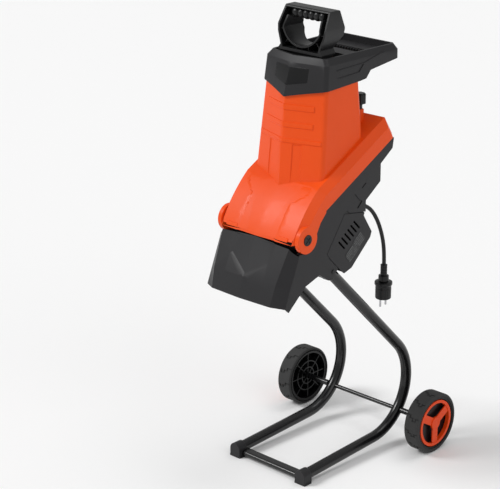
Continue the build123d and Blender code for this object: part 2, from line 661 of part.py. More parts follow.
collar_forms = []
for inset in (0.0, 1.6):
    with BuildPart() as collar_form:
        heights = list(COLLAR_SECTIONS)
        for low, high in zip(heights, heights[1:]):
            for height in (low, high):
                with BuildSketch(Plane.XY.offset(height)) as section:
                    Polygon(*collar_section(height, inset), align=None)
                    fillet(section.vertices().sort_by(Axis.Y)[1:], 11)
            loft(ruled=True)
    collar_forms.append(collar_form.part)

with BuildPart() as hopper_collar:
    add(collar_forms[0])
    with BuildSketch(Plane.YZ):
        Polygon(*UNDERSIDE, (170, COLLAR_TOP + 1), (-113, COLLAR_TOP + 1), align=None)
    extrude(amount=COLLAR_HALF + 5, both=True, mode=Mode.INTERSECT)
    # tray in the top and the hollow under it
    with BuildSketch(Plane.XY.offset(COLLAR_TOP)) as tray:
        Polygon(*collar_section(COLLAR_TOP, 5.0), align=None)
        fillet(tray.vertices().sort_by(Axis.Y)[1:], 8)
    extrude(amount=-TRAY_DEPTH, mode=Mode.SUBTRACT)
    with BuildSketch(Plane.XY.offset(TOWER_TOP - 2)):
        Polygon((-81, -66), (0, -84), (81, -66), (81, 27), (-81, 27), align=None)
    extrude(amount=COLLAR_TOP - TRAY_DEPTH - SKIN - TOWER_TOP + 2, mode=Mode.SUBTRACT)
    with BuildSketch(Plane.XY.offset(880)):
        with Locations((0, (60 + COLLAR_REAR_Y - 5) / 2)):
            Rectangle(2 * COLLAR_HALF - 10, COLLAR_REAR_Y - 5 - 60)
        with Locations((0, GRIP_SLOT_Y)):
            Rectangle(2 * GRIP_SLOT_HALF + 6, GRIP_SLOT_WIDTH + 6, mode=Mode.SUBTRACT)
    extrude(amount=COLLAR_TOP - TRAY_DEPTH - SKIN - 880, mode=Mode.SUBTRACT)
    with BuildSketch(Plane.XY.offset(880)):
        with Locations((0, GRIP_SLOT_Y)):
            RectangleRounded(2 * GRIP_SLOT_HALF, GRIP_SLOT_WIDTH, 6)
        with Locations((0, (INLET_FRONT_Y + INLET_REAR_Y) / 2)):
            Rectangle(2 * INLET_HALF, INLET_REAR_Y - INLET_FRONT_Y)
    extrude(amount=COLLAR_TOP - 880, mode=Mode.SUBTRACT)
    add(tower_forms[2], mode=Mode.SUBTRACT)
    # recess for the badge on the front facets
    with BuildSketch(Plane.XZ.offset(60)):
        Polygon(
            (-BADGE_HALF, 924), (BADGE_HALF, 924), (BADGE_HALF, 894), (0, 885), (-BADGE_HALF, 894), align=None
        )
    badge_recess = extrude(amount=60, mode=Mode.PRIVATE)
    badge_solid = badge_recess & (collar_forms[0] - collar_forms[1])
    add(badge_solid, mode=Mode.SUBTRACT)
save(hopper_collar, "hopper_collar")

with BuildPart() as badge_plate:
    add(badge_solid)
save(badge_plate, "badge_plate")

with BuildPart() as splash_guard:
    with BuildSketch(Plane.XY.offset(COLLAR_TOP - TRAY_DEPTH - SKIN - 3.2)):
        with Locations((0, GRIP_Y + 14)):
            RectangleRounded(2 * INLET_HALF + 16, 26, 4)
        with Locations((0, GRIP_Y)):
            Rectangle(2 * SHANK_HALF + 5, SHANK_DEPTH + 5, mode=Mode.SUBTRACT)
    extrude(amount=3)
save(splash_guard, "splash_guard")

# ---------------------------------------------------------------- feed throat
FEED_FLOOR = 0.6
FEED_SLOT_V = -88.0
FEED_SLOT_HALF = 52.0
FEED_SLOT_WIDTH = 46.0
FEED_PLATE_HALF = 101.0
ANVIL_WIDTH = 20.0
ANVIL_THICKNESS = 6.0
with BuildPart() as feed_plate:
    with BuildSketch(deck.offset(FEED_FLOOR)):
        with Locations((0, -34)):
            RectangleRounded(2 * FEED_PLATE_HALF, 196, 8)
        with Locations((0, FEED_SLOT_V)):
            RectangleRounded(2 * FEED_SLOT_HALF, FEED_SLOT_WIDTH, 8, mode=Mode.SUBTRACT)
    extrude(amount=SKIN)
save(feed_plate, "feed_plate")

with BuildPart() as anvil_plate:
    with BuildSketch(deck.offset(FEED_FLOOR)):
        with Locations((0, FEED_SLOT_V + (FEED_SLOT_WIDTH + ANVIL_WIDTH) / 2 + 2)):
            Rectangle(2 * FEED_SLOT_HALF - 8, ANVIL_WIDTH)
    extrude(amount=-ANVIL_THICKNESS)
    chamfer(anvil_plate.edges().filter_by(Axis.X).group_by(Axis.Z)[0], 2)
save(anvil_plate, "anvil_plate")

# ---------------------------------------------------------------- locking knob
with BuildPart() as locking_knob:
    with BuildSketch(knob_seat.offset(GAP)):
        Circle(KNOB_R / 2)
    extrude(amount=KNOB_NECK)
    with BuildSketch(knob_seat.offset(KNOB_NECK)):
        Circle(KNOB_R)
        with PolarLocations(KNOB_R + 1.5, 8):
            Circle(3, mode=Mode.SUBTRACT)
    extrude(amount=KNOB_HEIGHT)
    chamfer(locking_knob.faces().sort_by(Axis.Z)[-1].edges(), 3)
    with BuildSketch(knob_seat):
        Circle(STUD_D / 2)
    extrude(amount=KNOB_NECK + 10, mode=Mode.SUBTRACT)
save(locking_knob, "locking_knob")

with BuildPart() as locking_stud:
    with BuildSketch(knob_seat.offset(KNOB_NECK + 10)):
        Circle(STUD_D / 2)
    extrude(amount=-(KNOB_NECK + 10 + BOSS_TOP - seam(KNOB_Y, -STUD_REACH)))
    chamfer(locking_stud.faces().sort_by(Axis.Z)[0].edges(), 1)
save(locking_stud, "locking_stud")

# ---------------------------------------------------------------- plunger
with BuildPart() as plunger_grip:
    with BuildSketch(Plane.XZ.offset(-10)):
        Polygon(
            (-63, GRIP_TOP),
            (63, GRIP_TOP),
            (GRIP_HALF, 1003),
            (GRIP_HALF - 2, 985),
            (56, 959),
            (GRIP_BASE_HALF, COLLAR_TOP + 4),
            (GRIP_BASE_HALF, COLLAR_TOP - 8),
            (-GRIP_BASE_HALF, COLLAR_TOP - 8),
            (-GRIP_BASE_HALF, COLLAR_TOP + 4),
            (-56, 959),
            (2 - GRIP_HALF, 985),
            (-GRIP_HALF, 1003),
            align=None,
        )
    extrude(amount=80)
    with BuildSketch(Plane.YZ):
        Polygon(
            (-38, GRIP_TOP + 1),
            (-8, GRIP_TOP + 1),
            (4, 1000),
            (2, 985),
            (-19, 963),
            (-19, COLLAR_TOP + 1),
            (-28, COLLAR_TOP + 1),
            (-28, COLLAR_TOP - 9),
            (-60, COLLAR_TOP - 9),
            (-60, COLLAR_TOP + 1),
            (-64, COLLAR_TOP + 1.5),
            (-62, 962),
            (-58, 1000),
            align=None,
        )
    extrude(amount=GRIP_HALF + 1, both=True, mode=Mode.INTERSECT)
    with BuildSketch(Plane.XZ):
        with BuildLine():
            Polyline((-50, 995), (-46, 1016), (46, 1016), (50, 995))
            ThreePointArc((50, 995), (0, 962), (-50, 995))
        make_face()
    extrude(amount=100, both=True, mode=Mode.SUBTRACT)
    fillet(plunger_grip.edges().filter_by(Axis.X).group_by(Axis.Z)[-1], 5)
save(plunger_grip, "plunger_grip")

with BuildPart() as plunger_paddle:
    with BuildSketch(Plane.XY.offset(COLLAR_TOP - TRAY_DEPTH + GAP)):
        with Locations((0, GRIP_Y + 3)):
            RectangleRounded(2 * INLET_HALF + 6, 32, 5)
    extrude(amount=TRAY_DEPTH - 9 - 2 * GAP)
    with BuildSketch(Plane.XY.offset(SHANK_BOTTOM)):
        with Locations((0, GRIP_Y)):
            RectangleRounded(2 * SHANK_HALF, SHANK_DEPTH, 4)
    extrude(amount=COLLAR_TOP - TRAY_DEPTH + 1 - SHANK_BOTTOM)
    for face_y, push in ((GRIP_Y - SHANK_DEPTH / 2, 1), (GRIP_Y + SHANK_DEPTH / 2, -1)):
        with BuildSketch(Plane.XZ.offset(-face_y)):
            with Locations((0, (SHANK_BOTTOM + COLLAR_TOP - TRAY_DEPTH) / 2)):
                with GridLocations(SHANK_HALF - 2, 60, 2, 3):
                    Rectangle(SHANK_HALF - 6, 54)
        extrude(amount=-push * (SHANK_DEPTH / 2 - 2), mode=Mode.SUBTRACT)
save(plunger_paddle, "plunger_paddle")

# ---------------------------------------------------------------- motor and spindle
PLATE_TOP = CHAMBER_DEPTH + SKIN + GAP
PLATE_THICKNESS = 6.0
MOTOR_TOP = PLATE_TOP + PLATE_THICKNESS + GAP
CORE_R = 23.2


def ring(plane, height, outer_r, bore_r, thickness):
    """A plain ring with its upper face at a height on the spindle and its body below it."""
    with BuildPart() as ring_part:
        with BuildSketch(plane.offset(height)):
            Circle(outer_r)
            Circle(bore_r, mode=Mode.SUBTRACT)
        extrude(amount=-thickness)
    return ring_part


save(ring(spindle, -PLATE_TOP, MOTOR_PLATE_R, BEARING_R, PLATE_THICKNESS), "motor_plate")
save(ring(spindle, -PLATE_TOP + 0.5, BEARING_R, SHAFT_D / 2 + FIT, PLATE_THICKNESS), "upper_bearing")
save(ring(spindle, -MOTOR_TOP - 12, MOTOR_R - 3.2, CORE_R + 0.8, 62), "stator_core")
save(ring(spindle, -MOTOR_TOP - 14, CORE_R, SHAFT_D / 2, 58), "rotor_core")
save(ring(spindle, -MOTOR_TOP - MOTOR_LENGTH + 10, 13.0, SHAFT_D / 2 + FIT, 7), "lower_bearing")

with BuildPart() as motor_can:
    with BuildSketch(spindle.offset(-MOTOR_TOP)):
        Circle(MOTOR_R)
        Circle(MOTOR_R - 3, mode=Mode.SUBTRACT)
    extrude(amount=-MOTOR_LENGTH)
    with BuildSketch(spindle.offset(-MOTOR_TOP - MOTOR_LENGTH)):
        Circle(MOTOR_R)
    extrude(amount=SKIN)
    with BuildSketch(spindle.offset(-MOTOR_TOP - MOTOR_LENGTH + SKIN)):
        Circle(16)
        Circle(13.1, mode=Mode.SUBTRACT)
    extrude(amount=7)
save(motor_can, "motor_can")

with BuildPart() as spindle_shaft:
    with BuildSketch(spindle.offset(-DISC_DEPTH - DISC_THICKNESS)):
        Circle(SHAFT_D / 2)
    extrude(amount=-(MOTOR_TOP + MOTOR_LENGTH - DISC_DEPTH - DISC_THICKNESS - SKIN - 1))
save(spindle_shaft, "spindle_shaft")

with BuildPart() as cooling_fan:
    with BuildSketch(spindle.offset(-MOTOR_TOP - 80)):
        Circle(33)
        Circle(SHAFT_D / 2, mode=Mode.SUBTRACT)
    extrude(amount=-2)
    with BuildSketch(spindle.offset(-MOTOR_TOP - 75.5)):
        with PolarLocations(22, 9):
            Rectangle(20, 1.6)
    extrude(amount=-5)
save(cooling_fan, "cooling_fan")

with BuildPart() as blade_disc:
    with BuildSketch(spindle.offset(-DISC_DEPTH)):
        Circle(DISC_R)
    extrude(amount=-DISC_THICKNESS)
    with BuildSketch(spindle.offset(-DISC_DEPTH - DISC_THICKNESS)):
        with PolarLocations(62, 4, start_angle=45):
            Rectangle(44, 4)
        Circle(17)
        Circle(SHAFT_D / 2, mode=Mode.SUBTRACT)
    extrude(amount=-(CHAMBER_DEPTH - DISC_DEPTH - DISC_THICKNESS - 4))
    with BuildSketch(spindle.offset(-DISC_DEPTH)):
        with PolarLocations(BLADE_OFFSET, 2):
            with Locations((0, -BLADE_HOLE_PITCH / 2), (0, BLADE_HOLE_PITCH / 2)):
                Circle(BLADE_HOLE_R)
    extrude(amount=-DISC_THICKNESS, mode=Mode.SUBTRACT)
save(blade_disc, "blade_disc")

with BuildPart() as cutter_blades:
    with BuildSketch(spindle.offset(-DISC_DEPTH + GAP / 10)):
        with PolarLocations(BLADE_OFFSET, 2):
            Polygon(
                (-BLADE_WIDTH / 2, -BLADE_LENGTH / 2),
                (BLADE_WIDTH / 2, -BLADE_LENGTH / 2 + 10),
                (BLADE_WIDTH / 2, BLADE_LENGTH / 2),
                (-BLADE_WIDTH / 2, BLADE_LENGTH / 2 - 10),
                align=None,
            )
            with Locations((0, -BLADE_HOLE_PITCH / 2), (0, BLADE_HOLE_PITCH / 2)):
                Circle(BLADE_HOLE_R, mode=Mode.SUBTRACT)
    extrude(amount=BLADE_THICKNESS)
save(cutter_blades, "cutter_blades")

with BuildPart() as blade_screws:
    for height, radius, length in ((BLADE_THICKNESS + 2.8, 7, 2.5), (BLADE_THICKNESS + 2.8, 4, 12)):
        with BuildSketch(spindle.offset(-DISC_DEPTH + height)):
            with PolarLocations(BLADE_OFFSET, 2):
                with Locations((0, -BLADE_HOLE_PITCH / 2), (0, BLADE_HOLE_PITCH / 2)):
                    Circle(radius)
        extrude(amount=-length)
save(blade_screws, "blade_screws")

with BuildPart() as spindle_bolt:
    with BuildSketch(spindle.offset(-DISC_DEPTH + GAP / 10)):
        Circle(14)
    extrude(amount=1.5)
    with BuildSketch(spindle.offset(-DISC_DEPTH + 1.5)):
        RegularPolygon(8, 6)
    extrude(amount=5)
save(spindle_bolt, "spindle_bolt")

# ---------------------------------------------------------------- switch gear on the rear face
ROCKER_WIDTH = 21.0
rear_face = Plane(origin=(0, REAR_FACE_Y, 0), x_dir=(-1, 0, 0), z_dir=(0, 1, 0))
reset_face = Plane(origin=(RESET_X, REAR_FACE_Y, SWITCH_Z), x_dir=(-1, 0, 0), z_dir=(0, 1, 0))
with BuildPart() as switch_bezel:
    with BuildSketch(rear_face.offset(GAP)):
        with Locations((-SWITCH_X, SWITCH_Z)):
            RectangleRounded(32, 34, 3)
            Rectangle(24, 26, mode=Mode.SUBTRACT)
    extrude(amount=2.5)
save(switch_bezel, "switch_bezel")

with BuildPart() as switch_rocker:
    with BuildSketch(Plane.YZ.offset(SWITCH_X - ROCKER_WIDTH / 2)):
        with Locations((REAR_FACE_Y - 5, SWITCH_Z)):
            Polygon((0, -11), (9, -11), (5.5, 0), (9, 11), (0, 11), align=None)
    extrude(amount=ROCKER_WIDTH)
save(switch_rocker, "switch_rocker")

save(ring(reset_face, GAP + 3, 10, 6.4, 3), "reset_collar")
with BuildPart() as reset_button:
    with BuildSketch(reset_face.offset(6.5)):
        Circle(6)
    extrude(amount=-14)
    chamfer(reset_button.edges().group_by(Axis.Y)[-1], 1)
save(reset_button, "reset_button")

with BuildPart() as rating_plate:
    with BuildSketch(Plane(origin=(HOUSING_HALF, -4.0, 524.0), x_dir=(0, 0.743, 0.669), z_dir=(1, 0, 0))):
        RectangleRounded(66, 26, 3)
    extrude(amount=0.5)
save(rating_plate, "rating_plate")

with BuildPart() as pivot_pins:
    for sign in SIDES.values():
        head_x = sign * (CASING_HALF - 3 + GAP)
        with BuildSketch(pivot_left.offset(head_x)):
            Circle(PIVOT_HEAD_R)
        extrude(amount=sign * 4)
        with BuildSketch(pivot_left.offset(head_x)):
            Circle(PIVOT_PIN_D / 2)
        extrude(amount=-sign * (LOBE_THICKNESS - 3 + EAR_THICKNESS + 2 * GAP))
save(pivot_pins, "pivot_pins")

with BuildPart() as strut_screws:
    for sign in SIDES.values():
        with BuildSketch(Plane.YZ.offset(sign * (HOUSING_HALF - 1))):
            with Locations(STRUT_SCREW):
                Circle(STRUT_SCREW_R)
        extrude(amount=sign * 2.5)
save(strut_screws, "strut_screws")

# ---------------------------------------------------------------- supply lead
GLAND_LENGTH = 26.0
PLUG_NECK_R = 8.0
gland_dir = (0, cos(radians(20)), -sin(radians(20)))
gland_base = Plane(origin=(CORD_X, REAR_NOTCH_Y - 0.5, CORD_EXIT_Z + 1.5), x_dir=(1, 0, 0), z_dir=gland_dir)
with BuildPart() as cord_gland:
    with BuildSketch(gland_base):
        Circle(9)
    with BuildSketch(gland_base.offset(GLAND_LENGTH)):
        Circle(CORD_D / 2 + 1.5)
    loft()
    with BuildSketch(Plane.XZ.offset(-REAR_NOTCH_Y)):
        with Locations((CORD_X, CORD_EXIT_Z)):
            Rectangle(30, 40)
    extrude(amount=20, mode=Mode.SUBTRACT)
save(cord_gland, "cord_gland")

gland_end = gland_base.from_local_coords((0, 0, GLAND_LENGTH))
CORD_ROUTE = [
    (gland_end.X, gland_end.Y, gland_end.Z),
    (80.0, 77.364, 590.715),
    (80.6, 105.0, 562.0),
    (80.8, 127.0, 519.0),
    (80.0, 140.2, 472.0),
    (80.0, 140.2, 437.0),
]


def bend_radii(points):
    """Largest tidy bend radius at each inner corner of a route."""
    radii = []
    for before, corner, after in zip(points, points[1:], points[2:]):
        run_in = Vector(*corner) - Vector(*before)
        run_out = Vector(*after) - Vector(*corner)
        half_turn = radians(run_in.get_angle(run_out)) / 2
        radii.append(0.45 * min(run_in.length, run_out.length) / tan(half_turn))
    return radii


cord_radii = bend_radii(CORD_ROUTE)
with BuildPart() as power_cord:
    with BuildLine() as cord_line:
        FilletPolyline(*CORD_ROUTE, radius=cord_radii)
    with BuildSketch(Plane(origin=cord_line.line @ 0, z_dir=cord_line.line % 0)):
        Circle(CORD_D / 2)
    sweep()
save(power_cord, "power_cord")
cord_length = sum(edge.length for edge in cord_line.edges())
print("cord radii", [round(radius) for radius in cord_radii], "length", round(cord_length, 1))
print("cord volume", round(power_cord.part.volume), round(pi * CORD_D**2 / 4 * cord_length))

plug_top = CORD_ROUTE[-1]
plug_plane = Plane(origin=plug_top, x_dir=(1, 0, 0), z_dir=(0, 0, -1))
with BuildPart() as plug_body:
    for start, radius, length in ((0, PLUG_NECK_R, 27), (26, 12, 15), (40, 20.5, 16), (55, 18.5, 27)):
        with BuildSketch(plug_plane.offset(start)):
            Circle(radius)
        extrude(amount=length)
    chamfer(plug_body.edges().filter_by(GeomType.CIRCLE).group_by(Axis.Z)[0], 1.5)
save(plug_body, "plug_body")

with BuildPart() as plug_pins:
    with BuildSketch(plug_plane.offset(82)):
        with Locations((0, -9.5), (0, 9.5)):
            Circle(2.4)
    extrude(amount=19)
    fillet(plug_pins.edges().filter_by(GeomType.CIRCLE).group_by(Axis.Z)[0], 1.5)
save(plug_pins, "plug_pins")
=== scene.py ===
"""Electric garden shredder: the visible pieces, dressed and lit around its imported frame."""

import json
import logging
import math
from dataclasses import dataclass, field
from enum import Enum
from typing import Callable, Sequence

import bpy
from mathutils import Matrix, Vector

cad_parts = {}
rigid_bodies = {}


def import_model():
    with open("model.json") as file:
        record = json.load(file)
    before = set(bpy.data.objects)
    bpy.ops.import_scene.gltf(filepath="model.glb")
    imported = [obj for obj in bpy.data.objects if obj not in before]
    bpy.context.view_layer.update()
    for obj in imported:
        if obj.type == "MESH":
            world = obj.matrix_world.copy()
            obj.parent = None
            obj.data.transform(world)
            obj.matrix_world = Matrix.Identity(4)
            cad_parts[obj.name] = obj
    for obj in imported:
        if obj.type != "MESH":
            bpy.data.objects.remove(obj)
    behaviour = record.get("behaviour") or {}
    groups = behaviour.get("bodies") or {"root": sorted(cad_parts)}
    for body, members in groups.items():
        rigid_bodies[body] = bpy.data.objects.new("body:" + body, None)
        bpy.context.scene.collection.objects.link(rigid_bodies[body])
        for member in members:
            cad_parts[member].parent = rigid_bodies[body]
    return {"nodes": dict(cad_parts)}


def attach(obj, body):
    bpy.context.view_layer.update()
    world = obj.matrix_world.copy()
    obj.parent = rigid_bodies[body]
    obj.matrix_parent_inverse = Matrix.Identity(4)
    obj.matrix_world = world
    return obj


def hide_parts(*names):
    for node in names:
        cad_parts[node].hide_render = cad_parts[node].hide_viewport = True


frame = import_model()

LOG = logging.getLogger("shredder")
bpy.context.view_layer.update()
SIDES = {"left": -1, "right": 1}
Point2 = tuple[float, float]
Point3 = tuple[float, float, float]
FaceTest = Callable[[bpy.types.MeshPolygon], bool]


# ---------------------------------------------------------------- shader writing


class Wire:
    """A shader socket that takes part in arithmetic; each operation adds a Math node."""

    def __init__(self, paint: "Paint", socket: bpy.types.NodeSocket) -> None:
        """Wraps one output socket of a material that is being written."""
        self.paint = paint
        self.socket = socket

    def _math(self, operation: str, first: object, second: object) -> "Wire":
        """Adds one Math node for two operands."""
        return self.paint.node("ShaderNodeMath", {"operation": operation}, {0: first, 1: second})

    def __add__(self, other: object) -> "Wire":
        """self + other."""
        return self._math("ADD", self, other)

    def __radd__(self, other: object) -> "Wire":
        """other + self."""
        return self._math("ADD", other, self)

    def __sub__(self, other: object) -> "Wire":
        """self - other."""
        return self._math("SUBTRACT", self, other)

    def __rsub__(self, other: object) -> "Wire":
        """other - self."""
        return self._math("SUBTRACT", other, self)

    def __mul__(self, other: object) -> "Wire":
        """self * other."""
        return self._math("MULTIPLY", self, other)

    def __rmul__(self, other: object) -> "Wire":
        """other * self."""
        return self._math("MULTIPLY", other, self)

    def __gt__(self, other: object) -> "Wire":
        """1 where self is larger than other, else 0."""
        return self._math("GREATER_THAN", self, other)


class Paint:
    """One material while its nodes are being written."""

    def __init__(self, name: str) -> None:
        """Starts a material with a plain Principled shader."""
        self.material = bpy.data.materials.new(name)
        self.material.use_nodes = True
        self.tree = self.material.node_tree
        self.shader = self.tree.nodes["Principled BSDF"]

    def node(self, kind: str, settings: dict, inputs: dict, output: int | str = 0) -> Wire:
        """Adds a node of any kind.

        Args:
            kind: The node's type.
            settings: Its properties, and "stops" for a ramp as (position, colour) pairs.
            inputs: Values or wires, by the input's name or number.
            output: The output that is wanted.

        Returns:
            The wire that comes out of it.
        """
        made = self.tree.nodes.new(kind)
        for key, value in settings.items():
            if key == "stops":
                ramp = made.color_ramp
                while len(ramp.elements) < len(value):
                    ramp.elements.new(0.5)
                for element, (position, colour) in zip(ramp.elements, value):
                    element.position = position
                    element.color = (*colour, 1.0)
            else:
                setattr(made, key, value)
        for key, value in inputs.items():
            self.feed(made.inputs[key], value)
        return Wire(self, made.outputs[output])

    def feed(self, socket: bpy.types.NodeSocket, value: object) -> None:
        """Links a wire to a socket, or sets a plain value on it."""
        if isinstance(value, Wire):
            self.tree.links.new(value.socket, socket)
        else:
            socket.default_value = value

    def set(self, **values: object) -> None:
        """Sets or links the shader's own sockets; an underscore stands for a space."""
        for key, value in values.items():
            self.feed(self.shader.inputs[key.replace("_", " ")], value)

    def place(self, scale: Point3 = (1.0, 1.0, 1.0), turn: Point3 = (0.0, 0.0, 0.0)) -> Wire:
        """Object coordinates in metres, scaled and turned."""
        where = self.node("ShaderNodeTexCoord", {}, {}, "Object")
        return self.node("ShaderNodeMapping", {}, {"Vector": where, "Scale": scale, "Rotation": turn})

    def noise(self, grain: float, detail: float = 3.0, scale: Point3 = (1.0, 1.0, 1.0)) -> Wire:
        """Noise whose spots are about grain metres across."""
        sizes = {"Vector": self.place(scale), "Scale": 1.0 / grain, "Detail": detail}
        return self.node("ShaderNodeTexNoise", {}, sizes, "Fac")

    def bump(self, height: Wire, depth: float, strength: float = 1.0, over: Wire | None = None) -> Wire:
        """A bump of that depth in metres, laid over another where one is given."""
        inputs = {"Height": height, "Distance": depth, "Strength": strength}
        if over is not None:
            inputs["Normal"] = over
        return self.node("ShaderNodeBump", {}, inputs, "Normal")

    def blend(self, share: Wire, low: Sequence[float], high: Sequence[float]) -> Wire:
        """A colour between two, by a share from 0 to 1."""
        stops = ((0.0, tuple(low)), (1.0, tuple(high)))
        return self.node("ShaderNodeValToRGB", {"stops": stops}, {"Fac": share}, "Color")


# ---------------------------------------------------------------- finishes


@dataclass(frozen=True)
class Moulding:
    """Injection-moulded plastic with spark-eroded grain, handling marks and a little dust."""

    name: str
    colour: Point3
    roughness: float
    grain: float = 0.0007
    grain_depth: float = 0.00004
    coat: float = 0.0
    marks: float = 0.08
    specular: float = 0.3

    def material(self) -> bpy.types.Material:
        """Writes the finish.

        Returns:
            The material.
        """
        paint = Paint(self.name)
        flow = paint.noise(0.09, 4.0)
        speck = paint.noise(self.grain, 2.0)
        smear = paint.noise(0.02, 5.0, (1.0, 1.0, 0.3))
        deep = tuple(c * 0.90 for c in self.colour)
        pale = tuple(min(1.0, c * 1.07 + 0.0006) for c in self.colour)
        paint.set(
            Base_Color=paint.blend(flow * 0.7 + speck * 0.3, deep, pale),
            Roughness=self.roughness - self.marks / 2 + smear * self.marks,
            Normal=paint.bump(flow, 0.0004, 0.25, paint.bump(speck, self.grain_depth)),
            Coat_Weight=self.coat,
            Coat_Roughness=0.12,
            Specular_IOR_Level=self.specular,
        )
        return paint.material


@dataclass(frozen=True)
class Lacquer:
    """Powder coat on steel, glossy, with orange peel and fine dust."""

    name: str
    colour: Point3
    roughness: float = 0.2

    def material(self) -> bpy.types.Material:
        """Writes the finish.

        Returns:
            The material.
        """
        paint = Paint(self.name)
        peel = paint.noise(0.0016, 2.0)
        dust = paint.noise(0.012, 6.0)
        paint.set(
            Base_Color=paint.blend(dust, self.colour, tuple(c + 0.002 for c in self.colour)),
            Roughness=self.roughness + dust * 0.08,
            Normal=paint.bump(peel, 0.00003, 0.6),
            Coat_Weight=0.2,
            Coat_Roughness=0.08,
            Specular_IOR_Level=0.35,
        )
        return paint.material


@dataclass(frozen=True)
class Metal:
    """Bare metal with machining lines along one axis and a worn, uneven gloss."""

    name: str
    colour: Point3
    roughness: float
    lines: Point3 = (1.0, 1.0, 12.0)
    metallic: float = 1.0

    def material(self) -> bpy.types.Material:
        """Writes the finish.

        Returns:
            The material.
        """
        paint = Paint(self.name)
        line = paint.noise(0.003, 3.0, self.lines)
        stain = paint.noise(0.02, 5.0)
        dull = tuple(c * 0.7 for c in self.colour)
        paint.set(
            Base_Color=paint.blend(stain * 0.6 + line * 0.4, dull, self.colour),
            Metallic=self.metallic,
            Roughness=self.roughness - 0.06 + stain * 0.12,
            Normal=paint.bump(line, 0.00003),
        )
        return paint.material


@dataclass(frozen=True)
class Rubber:
    """Matt rubber with a mould bloom and fine pits."""

    name: str
    colour: Point3
    roughness: float = 0.78

    def material(self) -> bpy.types.Material:
        """Writes the finish.

        Returns:
            The material.
        """
        paint = Paint(self.name)
        bloom = paint.noise(0.018, 5.0)
        pit = paint.noise(0.0009, 2.0)
        paint.set(
            Base_Color=paint.blend(bloom, self.colour, tuple(c * 1.6 + 0.002 for c in self.colour)),
            Roughness=self.roughness - 0.08 + bloom * 0.14,
            Normal=paint.bump(pit, 0.00008, 0.8),
            Specular_IOR_Level=0.3,
        )
        return paint.material


@dataclass(frozen=True)
class PrintedPlate:
    """A dull plate with rows of generic bars in place of writing."""

    name: str
    ground: Point3
    ink: Point3
    pitch: float = 0.0052
    lean: float = -36.0
    wave_pitch: float = 0.31
    line_edge: float = 0.62
    word: float = 0.004
    word_edge: float = 0.47

    def material(self) -> bpy.types.Material:
        """Writes the finish.

        Returns:
            The material.
        """
        paint = Paint(self.name)
        turned = paint.place((1.0, 1.0, 1.0), (math.radians(self.lean), 0.0, 0.0))
        settings = {"wave_type": "BANDS", "bands_direction": "Z"}
        sizes = {"Vector": turned, "Scale": self.wave_pitch / self.pitch}
        rows = paint.node("ShaderNodeTexWave", settings, sizes, "Fac")
        words = paint.noise(self.word, 1.0)
        printed = (rows > self.line_edge) * (words > self.word_edge)
        paint.set(Base_Color=paint.blend(printed, self.ground, self.ink), Roughness=0.5 - printed * 0.1)
        return paint.material


class Finish(Enum):
    """Every finish on the machine."""

    ORANGE = Moulding("orange_moulding", (0.82, 0.078, 0.005), 0.40, coat=0.04, specular=0.2)
    HUB_ORANGE = Moulding("hub_orange", (0.78, 0.062, 0.005), 0.36, coat=0.06, specular=0.22)
    GREY = Moulding("dark_grey_moulding", (0.0165, 0.016, 0.0175), 0.46, grain_depth=0.00007)
    GREY_DEEP = Moulding("deep_grey_moulding", (0.010, 0.010, 0.011), 0.55, grain_depth=0.00007)
    BLACK = Moulding("black_moulding", (0.0055, 0.0055, 0.006), 0.3, coat=0.1, specular=0.25)
    HANDLE = Moulding("handle_black", (0.0085, 0.0085, 0.009), 0.34, coat=0.08)
    RED = Moulding("red_moulding", (0.45, 0.012, 0.010), 0.3, coat=0.4)
    TUBE = Lacquer("black_powder_coat", (0.004, 0.004, 0.0045), 0.22)
    STEEL = Metal("machined_steel", (0.62, 0.62, 0.64), 0.3)
    DARK_STEEL = Metal("oiled_steel", (0.20, 0.20, 0.21), 0.42)
    ALLOY = Metal("cast_alloy", (0.66, 0.66, 0.68), 0.45)
    COPPER = Metal("wound_copper", (0.75, 0.36, 0.17), 0.35, (8.0, 8.0, 1.0))
    TYRE = Rubber("tyre_rubber", (0.010, 0.010, 0.0105))
    SOFT = Rubber("lead_rubber", (0.0065, 0.0065, 0.007), 0.5)
    PLATE = PrintedPlate("rating_print", (0.013, 0.013, 0.0135), (0.085, 0.085, 0.087))

    def material(self) -> bpy.types.Material:
        """The finish's material, written the first time that it is asked for."""
        return bpy.data.materials.get(self.value.name) or self.value.material()


# ---------------------------------------------------------------- bench tools


